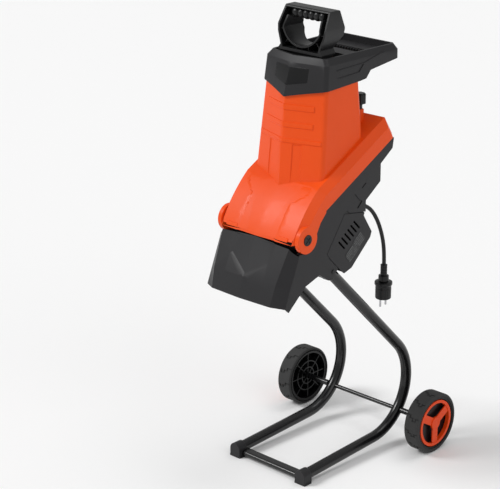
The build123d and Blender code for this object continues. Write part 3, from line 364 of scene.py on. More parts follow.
class Bench:
    """Modelling steps done with Blender's own operators, on one object at a time."""

    @staticmethod
    def take(piece: bpy.types.Object) -> None:
        """Deselects everything and makes one piece the active one."""
        for item in bpy.data.objects:
            item.select_set(False)
        bpy.context.view_layer.objects.active = piece
        piece.select_set(True)

    @staticmethod
    def adopt(node: str, name: str, dissolve: bool = True) -> bpy.types.Object:
        """Copies a CAD node's mesh into a piece of its own, with its loose triangles joined.

        Args:
            node: The CAD node.
            name: The new piece's name.
            dissolve: Whether coplanar triangles become one face.

        Returns:
            The new piece.
        """
        source = frame["nodes"][node]
        piece = bpy.data.objects.new(name, source.data.copy())
        bpy.context.scene.collection.objects.link(piece)
        piece.data.materials.clear()
        Bench.take(piece)
        bpy.ops.object.mode_set(mode="EDIT")
        bpy.ops.mesh.select_all(action="SELECT")
        bpy.ops.mesh.remove_doubles(threshold=0.00002)
        if dissolve:
            bpy.ops.mesh.dissolve_limited(angle_limit=math.radians(0.4))
        bpy.ops.object.mode_set(mode="OBJECT")
        return piece

    @staticmethod
    def settle(piece: bpy.types.Object) -> None:
        """Applies a new primitive's place, so that its object stands at the origin."""
        Bench.take(piece)
        bpy.ops.object.transform_apply(location=True, rotation=True, scale=True)

    @staticmethod
    def pick(piece: bpy.types.Object, test: FaceTest) -> int:
        """Selects the faces that pass a test, in object mode, and counts them."""
        Bench.take(piece)
        bpy.ops.object.mode_set(mode="EDIT")
        bpy.ops.mesh.select_mode(type="FACE")
        bpy.ops.mesh.select_all(action="DESELECT")
        bpy.ops.object.mode_set(mode="OBJECT")
        count = 0
        for face in piece.data.polygons:
            face.select = bool(test(face))
            count += face.select
        return count

    @staticmethod
    def edit(piece: bpy.types.Object, test: FaceTest, *steps: Callable[[], object]) -> None:
        """Runs edit-mode steps on the faces that pass a test."""
        if Bench.pick(piece, test):
            bpy.ops.object.mode_set(mode="EDIT")
            for step in steps:
                step()
            bpy.ops.object.mode_set(mode="OBJECT")

    @staticmethod
    def score(piece: bpy.types.Object, test: FaceTest, lines: Sequence[tuple[Point3, Point3]]) -> None:
        """Cuts new edges where planes cross the chosen faces.

        Args:
            piece: The piece to cut.
            test: Chooses the faces.
            lines: A point and a normal for each plane.
        """
        for point, normal in lines:
            Bench.edit(
                piece,
                test,
                lambda: bpy.ops.mesh.bisect(plane_co=point, plane_no=normal, threshold=0.00001),
            )

    @staticmethod
    def prism(name: str, outline: Sequence[Point2], axis: str, low: float, high: float) -> bpy.types.Object:
        """A closed prism between two heights on an axis.

        Args:
            name: The piece's name.
            outline: Its corners: (y, z) for axis X, (x, z) for Y and (x, y) for Z.
            axis: The axis that it runs along.
            low: Its lower end.
            high: Its upper end.

        Returns:
            The prism.
        """
        order = {"X": (2, 0, 1), "Y": (0, 2, 1), "Z": (0, 1, 2)}[axis]
        bpy.ops.mesh.primitive_circle_add(vertices=len(outline), radius=1.0, fill_type="NGON")
        piece = bpy.context.object
        piece.name = name
        for vertex, (first, second) in zip(piece.data.vertices, outline):
            flat = (first, second, low)
            vertex.co = tuple(flat[i] for i in order)
        rise = tuple(((0.0, 0.0, high - low)[i]) for i in order)
        Bench.take(piece)
        bpy.ops.object.mode_set(mode="EDIT")
        bpy.ops.mesh.select_all(action="SELECT")
        bpy.ops.mesh.extrude_region_move(TRANSFORM_OT_translate={"value": rise})
        bpy.ops.mesh.select_all(action="SELECT")
        bpy.ops.mesh.normals_make_consistent(inside=False)
        bpy.ops.object.mode_set(mode="OBJECT")
        return piece

    @staticmethod
    def lathe(
        name: str,
        profile: Sequence[Point2],
        origin: Point3,
        axis: Point3,
        segments: int = 64,
    ) -> bpy.types.Object:
        """Spins a profile round an axis.

        Args:
            name: The piece's name.
            profile: (distance along the axis, radius) pairs, closed if its ends are off the axis.
            origin: Where distance 0 lies.
            axis: The axis's direction.
            segments: Steps in a full turn.

        Returns:
            The turned piece.
        """
        along = Vector(axis).normalized()
        out = along.orthogonal().normalized()
        points = [Vector(origin) + along * s + out * r for s, r in profile]
        closed = profile[0][1] > 0 and profile[-1][1] > 0
        edges = [(i, i + 1) for i in range(len(points) - 1)]
        if closed:
            edges.append((len(points) - 1, 0))
        mesh = bpy.data.meshes.new(name)
        mesh.from_pydata(points, edges, [])
        piece = bpy.data.objects.new(name, mesh)
        bpy.context.scene.collection.objects.link(piece)
        Bench.take(piece)
        bpy.ops.object.mode_set(mode="EDIT")
        bpy.ops.mesh.select_all(action="SELECT")
        bpy.ops.mesh.spin(steps=segments, angle=math.tau, center=origin, axis=along)
        bpy.ops.mesh.select_all(action="SELECT")
        bpy.ops.mesh.remove_doubles(threshold=0.00001)
        bpy.ops.mesh.normals_make_consistent(inside=False)
        bpy.ops.object.mode_set(mode="OBJECT")
        return piece

    @staticmethod
    def modify(piece: bpy.types.Object, kind: str, **settings: object) -> None:
        """Adds a modifier and applies it."""
        Bench.take(piece)
        modifier = piece.modifiers.new(kind.lower(), kind)
        for key, value in settings.items():
            setattr(modifier, key, value)
        bpy.ops.object.modifier_apply(modifier=modifier.name)

    @staticmethod
    def carve(piece: bpy.types.Object, cutter: bpy.types.Object, operation: str = "DIFFERENCE") -> None:
        """Cuts one piece with another, which is used up."""
        Bench.modify(piece, "BOOLEAN", operation=operation, object=cutter, solver="EXACT")
        bpy.data.objects.remove(cutter)

    @staticmethod
    def ease(piece: bpy.types.Object, width: float, segments: int = 2, angle: float = 32.0) -> None:
        """Rounds the piece's sharp edges."""
        Bench.modify(
            piece,
            "BEVEL",
            width=width,
            segments=segments,
            limit_method="ANGLE",
            angle_limit=math.radians(angle),
            harden_normals=False,
        )

    @staticmethod
    def copy(piece: bpy.types.Object, name: str, matrix: Matrix) -> bpy.types.Object:
        """A copy with its own mesh, moved by a matrix."""
        mesh = piece.data.copy()
        mesh.transform(matrix)
        if matrix.determinant() < 0:
            mesh.flip_normals()
        twin = bpy.data.objects.new(name, mesh)
        bpy.context.scene.collection.objects.link(twin)
        return twin

    @staticmethod
    def join(name: str, pieces: Sequence[bpy.types.Object]) -> bpy.types.Object:
        """Joins pieces into the first one."""
        Bench.take(pieces[0])
        for piece in pieces:
            piece.select_set(True)
        bpy.ops.object.join()
        pieces[0].name = name
        return pieces[0]

    @staticmethod
    def fit(
        piece: bpy.types.Object,
        body: str,
        finish: Finish,
        replaces: Sequence[str] = (),
        angle: float = 34.0,
    ) -> bpy.types.Object:
        """Smooths, paints and mounts a finished piece.

        Args:
            piece: The finished piece.
            body: The body that it rides on.
            finish: Its finish.
            replaces: The CAD nodes that it stands for.
            angle: Edges sharper than this stay crisp.

        Returns:
            The piece.
        """
        Bench.take(piece)
        bpy.ops.object.shade_smooth_by_angle(angle=math.radians(angle))
        Bench.modify(piece, "WEIGHTED_NORMAL", keep_sharp=True)
        piece.data.materials.clear()
        piece.data.materials.append(finish.material())
        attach(piece, body)
        if replaces:
            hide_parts(*replaces)
        LOG.info("%s: %d faces on %s", piece.name, len(piece.data.polygons), body)
        return piece


def outline_planes(outline: Sequence[Point2], across: str) -> list[tuple[Point3, Point3]]:
    """Planes through each side of an outline, seen along an axis.

    Args:
        outline: Corners as (x, z) seen along Y, or (y, z) seen along X.
        across: The axis that the outline is seen along.

    Returns:
        A point and a normal for each side.
    """
    planes = []
    for (a, b), (c, d) in zip(outline, [*outline[1:], outline[0]]):
        if across == "Y":
            planes.append(((a, 0.0, b), (d - b, 0.0, a - c)))
        else:
            planes.append(((0.0, a, b), (0.0, d - b, a - c)))
    return planes


def inside(outline: Sequence[Point2], first: float, second: float) -> bool:
    """Whether a point lies inside an outline."""
    found = False
    for (a, b), (c, d) in zip(outline, [*outline[1:], outline[0]]):
        if (b > second) != (d > second) and first < (c - a) * (second - b) / (d - b) + a:
            found = not found
    return found


def mirrored(half: Sequence[Point2]) -> list[Point2]:
    """A half outline, given upwards on the plus side, closed by its mirror image."""
    return [*half, *[(-first, second) for first, second in reversed(half) if first]]


# ---------------------------------------------------------------- supply lead and plug


@dataclass
class SupplyLead:
    """The short rubber lead that hangs from the motor cover, with its mains plug."""

    diameter: float = 0.009
    length: float = 0.197
    route: list[Point3] = field(
        default_factory=lambda: [
            (0.080, 0.052932, 0.599607),
            (0.080, 0.077364, 0.590715),
            (0.0806, 0.105, 0.562),
            (0.0808, 0.127, 0.519),
            (0.080, 0.1402, 0.472),
            (0.080, 0.1402, 0.437),
        ]
    )
    neck_radius: float = 0.0078
    grip_rings: int = 4
    flutes: int = 18
    flute_ring: float = 0.0192
    flute_drop: float = 0.0685
    flute_size: tuple[float, float] = (0.0016, 0.019)

    def build(self) -> None:
        """Makes the lead and the plug."""
        curve = bpy.data.curves.new("supply_lead", "CURVE")
        curve.dimensions = "3D"
        spline = curve.splines.new("NURBS")
        spline.points.add(len(self.route) - 1)
        for point, place in zip(spline.points, self.route):
            point.co = (*place, 1.0)
        spline.order_u = 3
        spline.use_endpoint_u = True
        curve.resolution_u = 24
        curve.bevel_depth = self.diameter / 2
        curve.bevel_resolution = 8
        curve.use_fill_caps = True
        lead = bpy.data.objects.new("supply_lead", curve)
        bpy.context.scene.collection.objects.link(lead)
        curve.materials.append(Finish.SOFT.material())
        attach(lead, "base")
        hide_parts("power_cord")
        plug = self.plug()
        LOG.info("supply_lead: %.0f mm", self.length * 1000)

    def plug(self) -> bpy.types.Object:
        """The moulded plug: ribbed neck, collar, flange and body.

        Returns:
            The plug.
        """
        x, y, top = self.route[-1]
        neck = [(0.0, 0.0), (0.0, 0.0058)]
        for ring in range(self.grip_rings):
            start = 0.001 + ring * 0.006
            neck += [(start, self.neck_radius), (start + 0.0038, self.neck_radius)]
            neck += [(start + 0.0042, 0.0066), (start + 0.0056, 0.0066)]
        body = [
            (0.0262, 0.0082),
            (0.0266, 0.0115),
            (0.0278, 0.012),
            (0.0385, 0.012),
            (0.0398, 0.0108),
            (0.0405, 0.0150),
            (0.0416, 0.0198),
            (0.0430, 0.0205),
            (0.0475, 0.0205),
            (0.0488, 0.0196),
            (0.0500, 0.0186),
            (0.0540, 0.0184),
            (0.0545, 0.0176),
            (0.0560, 0.0176),
            (0.0565, 0.0184),
            (0.0800, 0.0182),
            (0.0815, 0.0172),
            (0.0820, 0.0150),
            (0.0820, 0.0),
        ]
        plug = Bench.lathe("mains_plug", neck + body, (x, y, top), (0.0, 0.0, -1.0), 64)
        flutes = []
        radius, depth = self.flute_size
        for step in range(self.flutes):
            angle = step * math.tau / self.flutes
            out = Vector((math.cos(angle), math.sin(angle), 0.0)) * self.flute_ring
            spot = Vector((x, y, top - self.flute_drop)) + out
            bpy.ops.mesh.primitive_cylinder_add(vertices=12, radius=radius, depth=depth, location=spot)
            flute = bpy.context.object
            Bench.settle(flute)
            flutes.append(flute)
        Bench.carve(plug, Bench.join("flutes", flutes))
        return Bench.fit(plug, "base", Finish.BLACK, ["plug_body"])


# ---------------------------------------------------------------- hopper


@dataclass
class RecessedPanel:
    """The six-sided panel that is pressed into the bonnet and the hood, with sloped walls."""

    half_width: float = 0.0570
    wall: float = 0.0055
    depth: float = 0.0024
    kink_z: float = 0.525
    tip_z: float = 0.490
    shoulder_z: float = 0.641
    top_half: float = 0.089
    top_z: float = 0.664

    def hood_outline(self, inset: float) -> list[Point2]:
        """The panel's end on the hood, moved inwards."""
        half = self.half_width - inset
        drop = inset * 0.55
        return mirrored([(0.0, self.tip_z + inset * 1.25), (half, self.kink_z + drop), (half, 0.60)])

    def bonnet_outline(self, inset: float) -> list[Point2]:
        """The panel's upper stretch on the bonnet, moved inwards."""
        half = self.half_width + 0.001 - inset
        flare = self.top_half - inset
        return mirrored(
            [
                (half - 0.001, 0.56),
                (half, self.shoulder_z + inset * 0.3),
                (flare, self.top_z + inset * 0.5),
                (flare, 0.70),
            ]
        )

    def press(self, piece: bpy.types.Object, outlines: Sequence[list[Point2]], front: FaceTest) -> None:
        """Presses the panel into a piece.

        Args:
            piece: The piece.
            outlines: The outer and the inner outline, as (x, z).
            front: Chooses the faces that may be pressed.
        """
        for outline in outlines:
            Bench.score(piece, front, outline_planes(outline, "Y"))
        Bench.edit(piece, front, lambda: bpy.ops.mesh.quads_convert_to_tris())
        floor = outlines[1]
        Bench.edit(
            piece,
            lambda face: front(face) and inside(floor, face.center.x, face.center.z),
            lambda: bpy.ops.transform.translate(value=(0.0, self.depth, 0.0)),
        )


@dataclass
class Hopper:
    """The orange casing with its feed tower, and the grey collar on top."""

    panel: RecessedPanel = field(default_factory=RecessedPanel)
    bands: tuple[tuple[float, float, float], ...] = (
        (0.833, 0.846, 0.066),
        (0.796, 0.808, 0.066),
        (0.763, 0.773, 0.086),
    )
    band_rise: float = 0.0016
    flutes: tuple[float, float] = (0.024, 0.045)
    flute_top: float = 0.761
    flute_foot: float = 0.640
    side_x: float = 0.080
    flank_lines: tuple[tuple[Point2, ...], ...] = (
        (
            (-0.0440, 0.9185),
            (0.0430, 0.9208),
            (0.1100, 0.9350),
            (0.1100, 0.9368),
            (0.0425, 0.9226),
            (-0.0440, 0.9203),
        ),
        (
            (-0.0370, 0.9012),
            (0.0264, 0.9038),
            (0.0430, 0.9208),
            (0.0412, 0.9208),
            (0.0256, 0.9054),
            (-0.0370, 0.9030),
        ),
    )
    crisp: float = 14.0
    teeth: int = 13
    tooth_pitch: float = 0.0078
    tooth_spot: Point2 = (0.1055, 0.9255)
    tooth_size: Point3 = (0.0042, 0.0070, 0.0095)
    tooth_round: float = 0.0014
    rim_reach: tuple[float, float] = (0.0575, 0.0888)
    rim_section: tuple[Point2, ...] = (
        (-0.1972, 0.5768),
        (-0.1935, 0.5845),
        (-0.1900, 0.5845),
        (-0.1930, 0.5768),
    )

    def casing(self) -> None:
        """The orange casing: pressed panel, raised bands and fluted strips on its tower."""
        casing = Bench.adopt("hopper_casing", "casing_shell")
        bonnet = lambda face: face.normal.z > 0.3 and face.normal.y < -0.3 and face.center.z < 0.69
        outlines = [self.panel.bonnet_outline(inset) for inset in (0.0, self.panel.wall)]
        self.panel.press(casing, outlines, bonnet)
        for low, high, reach in self.bands:
            box = [(-reach, low), (reach, low), (reach, high), (-reach, high)]
            self.relief(casing, box, self.band_rise)
        for sign in SIDES.values():
            near, far = self.flutes
            strip = [
                (sign * near, self.flute_foot),
                (sign * far * 1.06, self.flute_foot),
                (sign * far, self.flute_top),
                (sign * near, self.flute_top),
            ]
            self.relief(casing, strip, -self.band_rise)
        Bench.ease(casing, 0.0012)
        Bench.fit(casing, "hopper", Finish.ORANGE, ["hopper_casing"], self.crisp)
        near, far = self.rim_reach
        beads = [
            Bench.prism("rim_bead", self.rim_section, "X", *sorted((sign * near, sign * far)))
            for sign in SIDES.values()
        ]
        bead = Bench.join("bonnet_rim_beads", beads)
        Bench.ease(bead, 0.0006)
        Bench.fit(bead, "hopper", Finish.ORANGE)

    @staticmethod
    def tower_front(face: bpy.types.MeshPolygon) -> bool:
        """Whether a face is on the outside of the tower's two front facets."""
        return face.normal.y < -0.8 and abs(face.normal.z) < 0.3 and face.center.y < -0.07

    def relief(self, casing: bpy.types.Object, outline: list[Point2], rise: float) -> None:
        """Raises or sinks one outline on the tower's front facets."""
        Bench.score(casing, self.tower_front, outline_planes(outline, "Y"))
        Bench.edit(
            casing,
            lambda face: self.tower_front(face) and inside(outline, face.center.x, face.center.z),
            lambda: bpy.ops.mesh.inset(thickness=0.0012, depth=rise, use_even_offset=True),
        )

    def collar(self) -> None:
        """The grey collar, with its ridge lines, the ribbed carry slot and the plain badge."""
        collar = Bench.adopt("hopper_collar", "collar_shell")
        flank = lambda face: abs(face.normal.x) > 0.8 and abs(face.center.x) > self.side_x
        for line in self.flank_lines:
            Bench.score(collar, flank, outline_planes(line, "X"))
            Bench.edit(
                collar,
                lambda face: flank(face) and inside(line, face.center.y, face.center.z),
                lambda: bpy.ops.mesh.inset(thickness=0.0002, depth=0.0014),
            )
        Bench.ease(collar, 0.0012)
        Bench.fit(collar, "hopper", Finish.GREY, ["hopper_collar"])
        self.slot_teeth()
        badge = Bench.adopt("badge_plate", "badge_panel")
        Bench.ease(badge, 0.0008)
        Bench.fit(badge, "hopper", Finish.BLACK, ["badge_plate"])

    def slot_teeth(self) -> None:
        """A row of grip teeth along the rear edge of the carry slot."""
        teeth = []
        for number in range(self.teeth):
            x = (number - (self.teeth - 1) / 2) * self.tooth_pitch
            spot = (x, *self.tooth_spot)
            bpy.ops.mesh.primitive_cube_add(size=1.0, location=spot, scale=self.tooth_size)
            tooth = bpy.context.object
            Bench.settle(tooth)
            Bench.ease(tooth, self.tooth_round)
            teeth.append(tooth)
        Bench.fit(Bench.join("carry_slot_teeth", teeth), "hopper", Finish.GREY_DEEP)

    def build(self) -> None:
        """Makes every piece of the hopper."""
        self.casing()
        self.collar()


# ---------------------------------------------------------------- plunger


@dataclass
class Plunger:
    """The push-down plunger with its open channel handle."""

    wall: float = 0.004
    web_y: float = -0.024
    front_y: float = -0.095
    arc_radius: float = 0.0544
    arc_z: float = 1.0164
    arc_angle: float = 1.166
    lobes: int = 6
    lobe_pitch: float = 0.0152
    lobe_radius: float = 0.0115
    lobe_neck: float = 0.0072
    bar_y: float = -0.0300
    bar_z: float = 1.0245
    bar_gap: tuple[Point2, ...] = (
        (-0.0460, 1.0100),
        (0.0460, 1.0100),
        (0.0460, 1.0360),
        (-0.0460, 1.0360),
    )
    rib_size: Point3 = (0.018, 0.031, 0.0012)
    rib_y: float = -0.0395
    rib_spots: tuple[Point3, ...] = (
        (0.0575, 0.9905, 0.0),
        (0.0450, 0.9660, 50.0),
        (0.0170, 0.9570, 90.0),
    )

    def channel_outline(self) -> list[Point2]:
        """The outside of the hollow in the handle's front."""
        return mirrored(
            [
                (0.0, 0.9535),
                (0.0500, 0.9535),
                (0.0520, 0.9620),
                (0.0615, 0.9860),
                (0.0637, 1.0030),
                (0.0592, 1.0360),
                (0.0, 1.0360),
            ]
        )

    def opening_outline(self, grow: float) -> list[Point2]:
        """The finger opening, grown outwards."""
        reach = self.arc_radius + grow
        half = []
        for step in range(9):
            angle = self.arc_angle * step / 8
            half.append((reach * math.sin(angle), self.arc_z - reach * math.cos(angle)))
        return mirrored([*half, (0.046 + grow, 1.016 + grow), (0.0, 1.016 + grow)])

    def handle(self) -> None:
        """The handle: a channel open to the front, stiffened by thin ribs."""
        handle = Bench.adopt("plunger_grip", "plunger_handle")
        hollow = Bench.prism("hollow", self.channel_outline(), "Y", self.front_y, self.web_y)
        spare = 0.01
        ring = self.opening_outline(self.wall)
        core = Bench.prism("core", ring, "Y", self.front_y - spare, self.web_y + spare)
        Bench.carve(hollow, core)
        Bench.carve(handle, hollow)
        Bench.carve(handle, Bench.prism("bar_gap", self.bar_gap, "Y", self.front_y, self.web_y))
        Bench.ease(handle, 0.0009)
        Bench.fit(handle, "plunger", Finish.HANDLE, ["plunger_grip"])
        self.ribs()
        self.finger_bar()

    def ribs(self) -> None:
        """Thin stiffening ribs across the channel, close to the web."""
        ribs = []
        for x, z, lean in self.rib_spots:
            for sign in SIDES.values():
                bpy.ops.mesh.primitive_cube_add(size=1.0, scale=self.rib_size)
                rib = bpy.context.object
                Bench.settle(rib)
                turn = Matrix.Rotation(math.radians(sign * lean), 4, "Y")
                rib.data.transform(Matrix.Translation((sign * x, self.rib_y, z)) @ turn)
                ribs.append(rib)
        bounds = Bench.prism("rib_bounds", self.channel_outline(), "Y", self.front_y, self.web_y + 0.001)
        keep = Bench.prism("rib_keep", self.opening_outline(self.wall - 0.001), "Y", -0.12, 0.0)
        Bench.carve(bounds, keep)
        web = Bench.join("handle_ribs", ribs)
        Bench.carve(web, bounds, "INTERSECT")
        Bench.fit(web, "plunger", Finish.HANDLE)

    def finger_bar(self) -> None:
        """The round bar with one lobe for each rib of the grip."""
        profile = [(0.0, 0.0)]
        steps = 10
        for lobe in range(self.lobes):
            for step in range(steps + 1):
                share = step / steps
                swell = math.sin(math.pi * share) ** 0.45
                along = (lobe + share * 0.94 + 0.03) * self.lobe_pitch
                profile.append((along, self.lobe_neck + (self.lobe_radius - self.lobe_neck) * swell))
        profile.append((self.lobes * self.lobe_pitch, 0.0))
        start = (-self.lobes * self.lobe_pitch / 2, self.bar_y, self.bar_z)
        bar = Bench.lathe("finger_bar", profile, start, (1.0, 0.0, 0.0), 40)
        Bench.fit(bar, "plunger", Finish.HANDLE, angle=50.0)

    def build(self) -> None:
        """Makes every piece of the plunger."""
        self.handle()
        paddle = Bench.adopt("plunger_paddle", "plunger_shank")
        Bench.ease(paddle, 0.0008)
        Bench.fit(paddle, "plunger", Finish.BLACK, ["plunger_paddle"])


# ---------------------------------------------------------------- housing, hood and motor cover


@dataclass
class Housing:
    """The grey lower housing, its discharge hood and the ventilated motor cover."""

    panel: RecessedPanel = field(default_factory=RecessedPanel)
    wall_x: float = 0.115
    recess: float = 0.0035
    sink: float = 0.7
    # thickness of the black sheets that paint shade onto the pocket floors
    shade_sheet_thickness: float = 0.0005
    crisp: float = 14.0
    pivot: Point2 = (-0.163, 0.580)
    slot_size: Point3 = (0.0030, 0.0172, 0.0026)
    slot_turns: tuple[float, float] = (40.0, 130.0)

    def pockets(self) -> list[tuple[list[Point2], float]]:
        """Outlines and depths of the pockets in the housing's side walls, as (y, z)."""
        return [
            ([(-0.042, 0.6105), (-0.033, 0.6145), (-0.0115, 0.5935), (-0.016, 0.5925)], self.recess * 0.8),
            ([(-0.0215, 0.636), (-0.008, 0.6465), (0.0150, 0.622), (0.001, 0.611)], self.recess * 0.55),
            ([(0.0005, 0.6145), (0.0135, 0.6275), (0.0165, 0.6235), (0.0035, 0.6105)], self.recess * 0.8),
            ([(0.0145, 0.6555), (0.0275, 0.6645), (0.0295, 0.6625), (0.0165, 0.6535)], self.recess * 0.7),
        ]

    def lower(self) -> None:
        """The lower housing, latch pockets sunk into both side walls, with black painted shade on their
        floors.
        """
        housing = Bench.adopt("lower_housing", "housing_shell")
        for outline, depth in self.pockets():
            for sign in SIDES.values():
                ends = sorted((sign * (self.wall_x - depth * self.sink), sign * (self.wall_x + 0.004)))
                Bench.carve(housing, Bench.prism("pocket", outline, "X", *ends))
        # black sheets on the floors of the narrow pockets: painted shade, not a part of the housing
        shade_sheets = []
        for number, (outline, depth) in enumerate(self.pockets()):
            for sign in SIDES.values():
                floor_x = self.wall_x - depth * self.sink
                ends = sorted((sign * (floor_x - 0.0002), sign * (floor_x + self.shade_sheet_thickness)))
                if number != 1:
                    shade_sheets.append(Bench.prism("pocket_shade_sheet", outline, "X", *ends))
        Bench.fit(Bench.join("latch_pocket_shade_sheets", shade_sheets), "base", Finish.BLACK)
        Bench.ease(housing, 0.0010)
        Bench.fit(housing, "base", Finish.GREY, ["lower_housing"])

    def hood(self) -> None:
        """The discharge hood, with the lower end of the pressed panel."""
        hood = Bench.adopt("discharge_hood", "hood_shell")
        front = lambda face: face.normal.y < -0.75 and face.center.y < -0.185
        outlines = [self.panel.hood_outline(inset) for inset in (0.0, self.panel.wall)]
        self.panel.press(hood, outlines, front)
        Bench.ease(hood, 0.0008)
        Bench.fit(hood, "base", Finish.GREY, ["discharge_hood"], self.crisp)

    def cover(self) -> None:
        """The motor cover and the printed plate."""
        cover = Bench.adopt("motor_cover", "motor_cover_shell")
        Bench.ease(cover, 0.0014)
        Bench.fit(cover, "base", Finish.GREY, ["motor_cover"])
        frame["nodes"]["rating_plate"].data.materials.clear()
        frame["nodes"]["rating_plate"].data.materials.append(Finish.PLATE.material())

    def pivot_caps(self) -> None:
        """The black pivot pins with crossed slots in their heads."""
        pins = Bench.adopt("pivot_pins", "pivot_pin_caps")
        reach = max(abs(vertex.co.x) for vertex in pins.data.vertices)
        for sign in SIDES.values():
            for turn in self.slot_turns:
                spot = (sign * reach, *self.pivot)
                lean = (math.radians(turn), 0.0, 0.0)
                bpy.ops.mesh.primitive_cube_add(
                    size=1.0,
                    location=spot,
                    rotation=lean,
                    scale=self.slot_size,
                )
                slot = bpy.context.object
                Bench.settle(slot)
                Bench.carve(pins, slot)
        Bench.ease(pins, 0.0005)
        Bench.fit(pins, "base", Finish.BLACK, ["pivot_pins"])

    def build(self) -> None:
        """Makes every piece of the housing."""
        self.lower()
        self.hood()
        self.cover()
        self.pivot_caps()


# ---------------------------------------------------------------- wheels and stand


@dataclass
class Wheel:
    """One road wheel: treaded tyre, webbed core and orange three-spoke cover."""

    side: str
    radius: float = 0.071
    bead: float = 0.062
    inner_x: float = 0.176
    width: float = 0.040
    axle_y: float = 0.179
    steps: int = 144
    lugs: int = 12
    shoulder: float = 0.0035
    groove_lip: float = 0.0004
    groove_depth: float = 0.0022
    shifts: tuple[int, ...] = (0, 0, 2, 2, 4, 4, 2, 2)

    @property
    def sign(self) -> int:
        """Which way the wheel's outer face looks along X."""
        return SIDES[self.side]

    def tyre(self) -> None:
        """The tyre, with stepped grooves across its tread."""
        w, r, b = self.width, self.radius, self.bead
        strips = len(self.shifts)
        flat = w - 2 * self.shoulder
        tread = [(self.shoulder + flat * i / strips, r) for i in range(strips + 1)]
        profile = [
            (0.0, b),
            (0.0, b + 0.0008),
            (0.0060, b + 0.0012),
            (0.0060, r - 0.0052),
            (0.0, r - 0.0046),
            (0.0010, r - 0.0022),
            (0.0022, r - 0.0007),
            *tread,
            (w - 0.0022, r - 0.0007),
            (w - 0.0010, r - 0.0022),
            (w, r - 0.0045),
            (w, b + 0.0030),
            (w - 0.0008, b + 0.0022),
            (w - 0.0008, b + 0.0010),
            (w, b),
        ]
        start = (self.sign * self.inner_x, self.axle_y, self.radius)
        tyre = Bench.lathe(f"{self.side}_tyre_tread", profile, start, (self.sign, 0.0, 0.0), self.steps)
        period = self.steps // self.lugs
        step_angle = math.tau / self.steps

        def groove(face: bpy.types.MeshPolygon) -> bool:
            """Whether a tread face lies in a groove."""
            y, z = face.center.y - self.axle_y, face.center.z - self.radius
            if math.hypot(y, z) < self.radius - 0.0006:
                return False
            across = (abs(face.center.x) - self.inner_x - self.shoulder) / flat
            strip = min(strips - 1, max(0, int(across * strips)))
            step = round(math.atan2(z, y) / step_angle - 0.5) % self.steps
            shift = self.shifts[strip]
            before = self.shifts[strip - 1] if strip else shift
            span = range(min(shift, before), max(shift, before) + 1)
            return any((step - s) % period == 0 for s in span)

        Bench.edit(
            tyre,
            groove,
            lambda: bpy.ops.mesh.inset(thickness=self.groove_lip, depth=-self.groove_depth),
        )
        Bench.fit(tyre, f"{self.side}_wheel", Finish.TYRE, [f"{self.side}_tyre"])

    def core_and_cover(self) -> None:
        """The black webbed core and the orange cover, softened at their edges."""
        core = Bench.adopt(f"{self.side}_wheel_core", f"{self.side}_core_web")
        Bench.ease(core, 0.0006)
        Bench.fit(core, f"{self.side}_wheel", Finish.BLACK, [f"{self.side}_wheel_core"])
        cover = Bench.adopt(f"{self.side}_hub_cover", f"{self.side}_cover_spokes")
        Bench.ease(cover, 0.0012, 3)
        Bench.fit(cover, f"{self.side}_wheel", Finish.HUB_ORANGE, [f"{self.side}_hub_cover"])

    def build(self) -> None:
        """Makes every piece of the wheel."""
        self.tyre()
        self.core_and_cover()


@dataclass
class Stand:
    """The two bent tubes with their foot caps and cross bar."""

    smooth: tuple[str, ...] = ("left_frame_tube", "right_frame_tube")
    eased: tuple[str, ...] = ("left_foot_cap", "right_foot_cap", "crossbar")

    def build(self) -> None:
        """Makes every piece of the stand."""
        for node in self.smooth:
            Bench.fit(Bench.adopt(node, f"{node}_coat", False), "base", Finish.TUBE, [node], 40.0)
        for node in self.eased:
            piece = Bench.adopt(node, f"{node}_skin")
            Bench.ease(piece, 0.0012)
            Bench.fit(piece, "base", Finish.TUBE if node == "crossbar" else Finish.GREY, [node])


@dataclass
class SmallParts:
    """Knob, switch gear, gland, blades and the other small pieces, eased and painted."""

    eased: dict[str, tuple[str, Finish, float]] = field(
        default_factory=lambda: {
            "locking_knob": ("knob", Finish.BLACK, 0.0008),
            "cord_gland": ("base", Finish.BLACK, 0.0008),
            "switch_bezel": ("base", Finish.GREY_DEEP, 0.0006),
            "switch_rocker": ("rocker", Finish.RED, 0.0008),
            "reset_collar": ("base", Finish.GREY_DEEP, 0.0005),
            "reset_button": ("reset", Finish.RED, 0.0006),
            "blade_disc": ("rotor", Finish.DARK_STEEL, 0.0005),
            "cutter_blades": ("rotor", Finish.STEEL, 0.0002),
            "anvil_plate": ("hopper", Finish.STEEL, 0.0003),
            "feed_plate": ("hopper", Finish.DARK_STEEL, 0.0004),
        }
    )
    painted: dict[str, Finish] = field(
        default_factory=lambda: {
            "splash_guard": Finish.SOFT,
            "locking_stud": Finish.STEEL,
            "axle_rod": Finish.TUBE,
            "axle_spacers": Finish.TUBE,
            "left_axle_clip": Finish.STEEL,
            "right_axle_clip": Finish.STEEL,
            "strut_screws": Finish.BLACK,
            "motor_plate": Finish.ALLOY,
            "motor_can": Finish.DARK_STEEL,
            "stator_core": Finish.COPPER,
            "rotor_core": Finish.COPPER,
            "spindle_shaft": Finish.STEEL,
            "upper_bearing": Finish.STEEL,
            "lower_bearing": Finish.STEEL,
            "cooling_fan": Finish.BLACK,
            "blade_screws": Finish.STEEL,
            "spindle_bolt": Finish.STEEL,
            "plug_pins": Finish.STEEL,
        }
    )

    def build(self) -> None:
        """Eases the pieces that show their edges, and paints the rest."""
        for node, (body, finish, width) in self.eased.items():
            piece = Bench.adopt(node, f"{node}_skin")
            Bench.ease(piece, width)
            Bench.fit(piece, body, finish, [node])
        for node, finish in self.painted.items():
            mesh = frame["nodes"][node].data
            mesh.materials.clear()
            mesh.materials.append(finish.material())


# ---------------------------------------------------------------- camera, floor and light


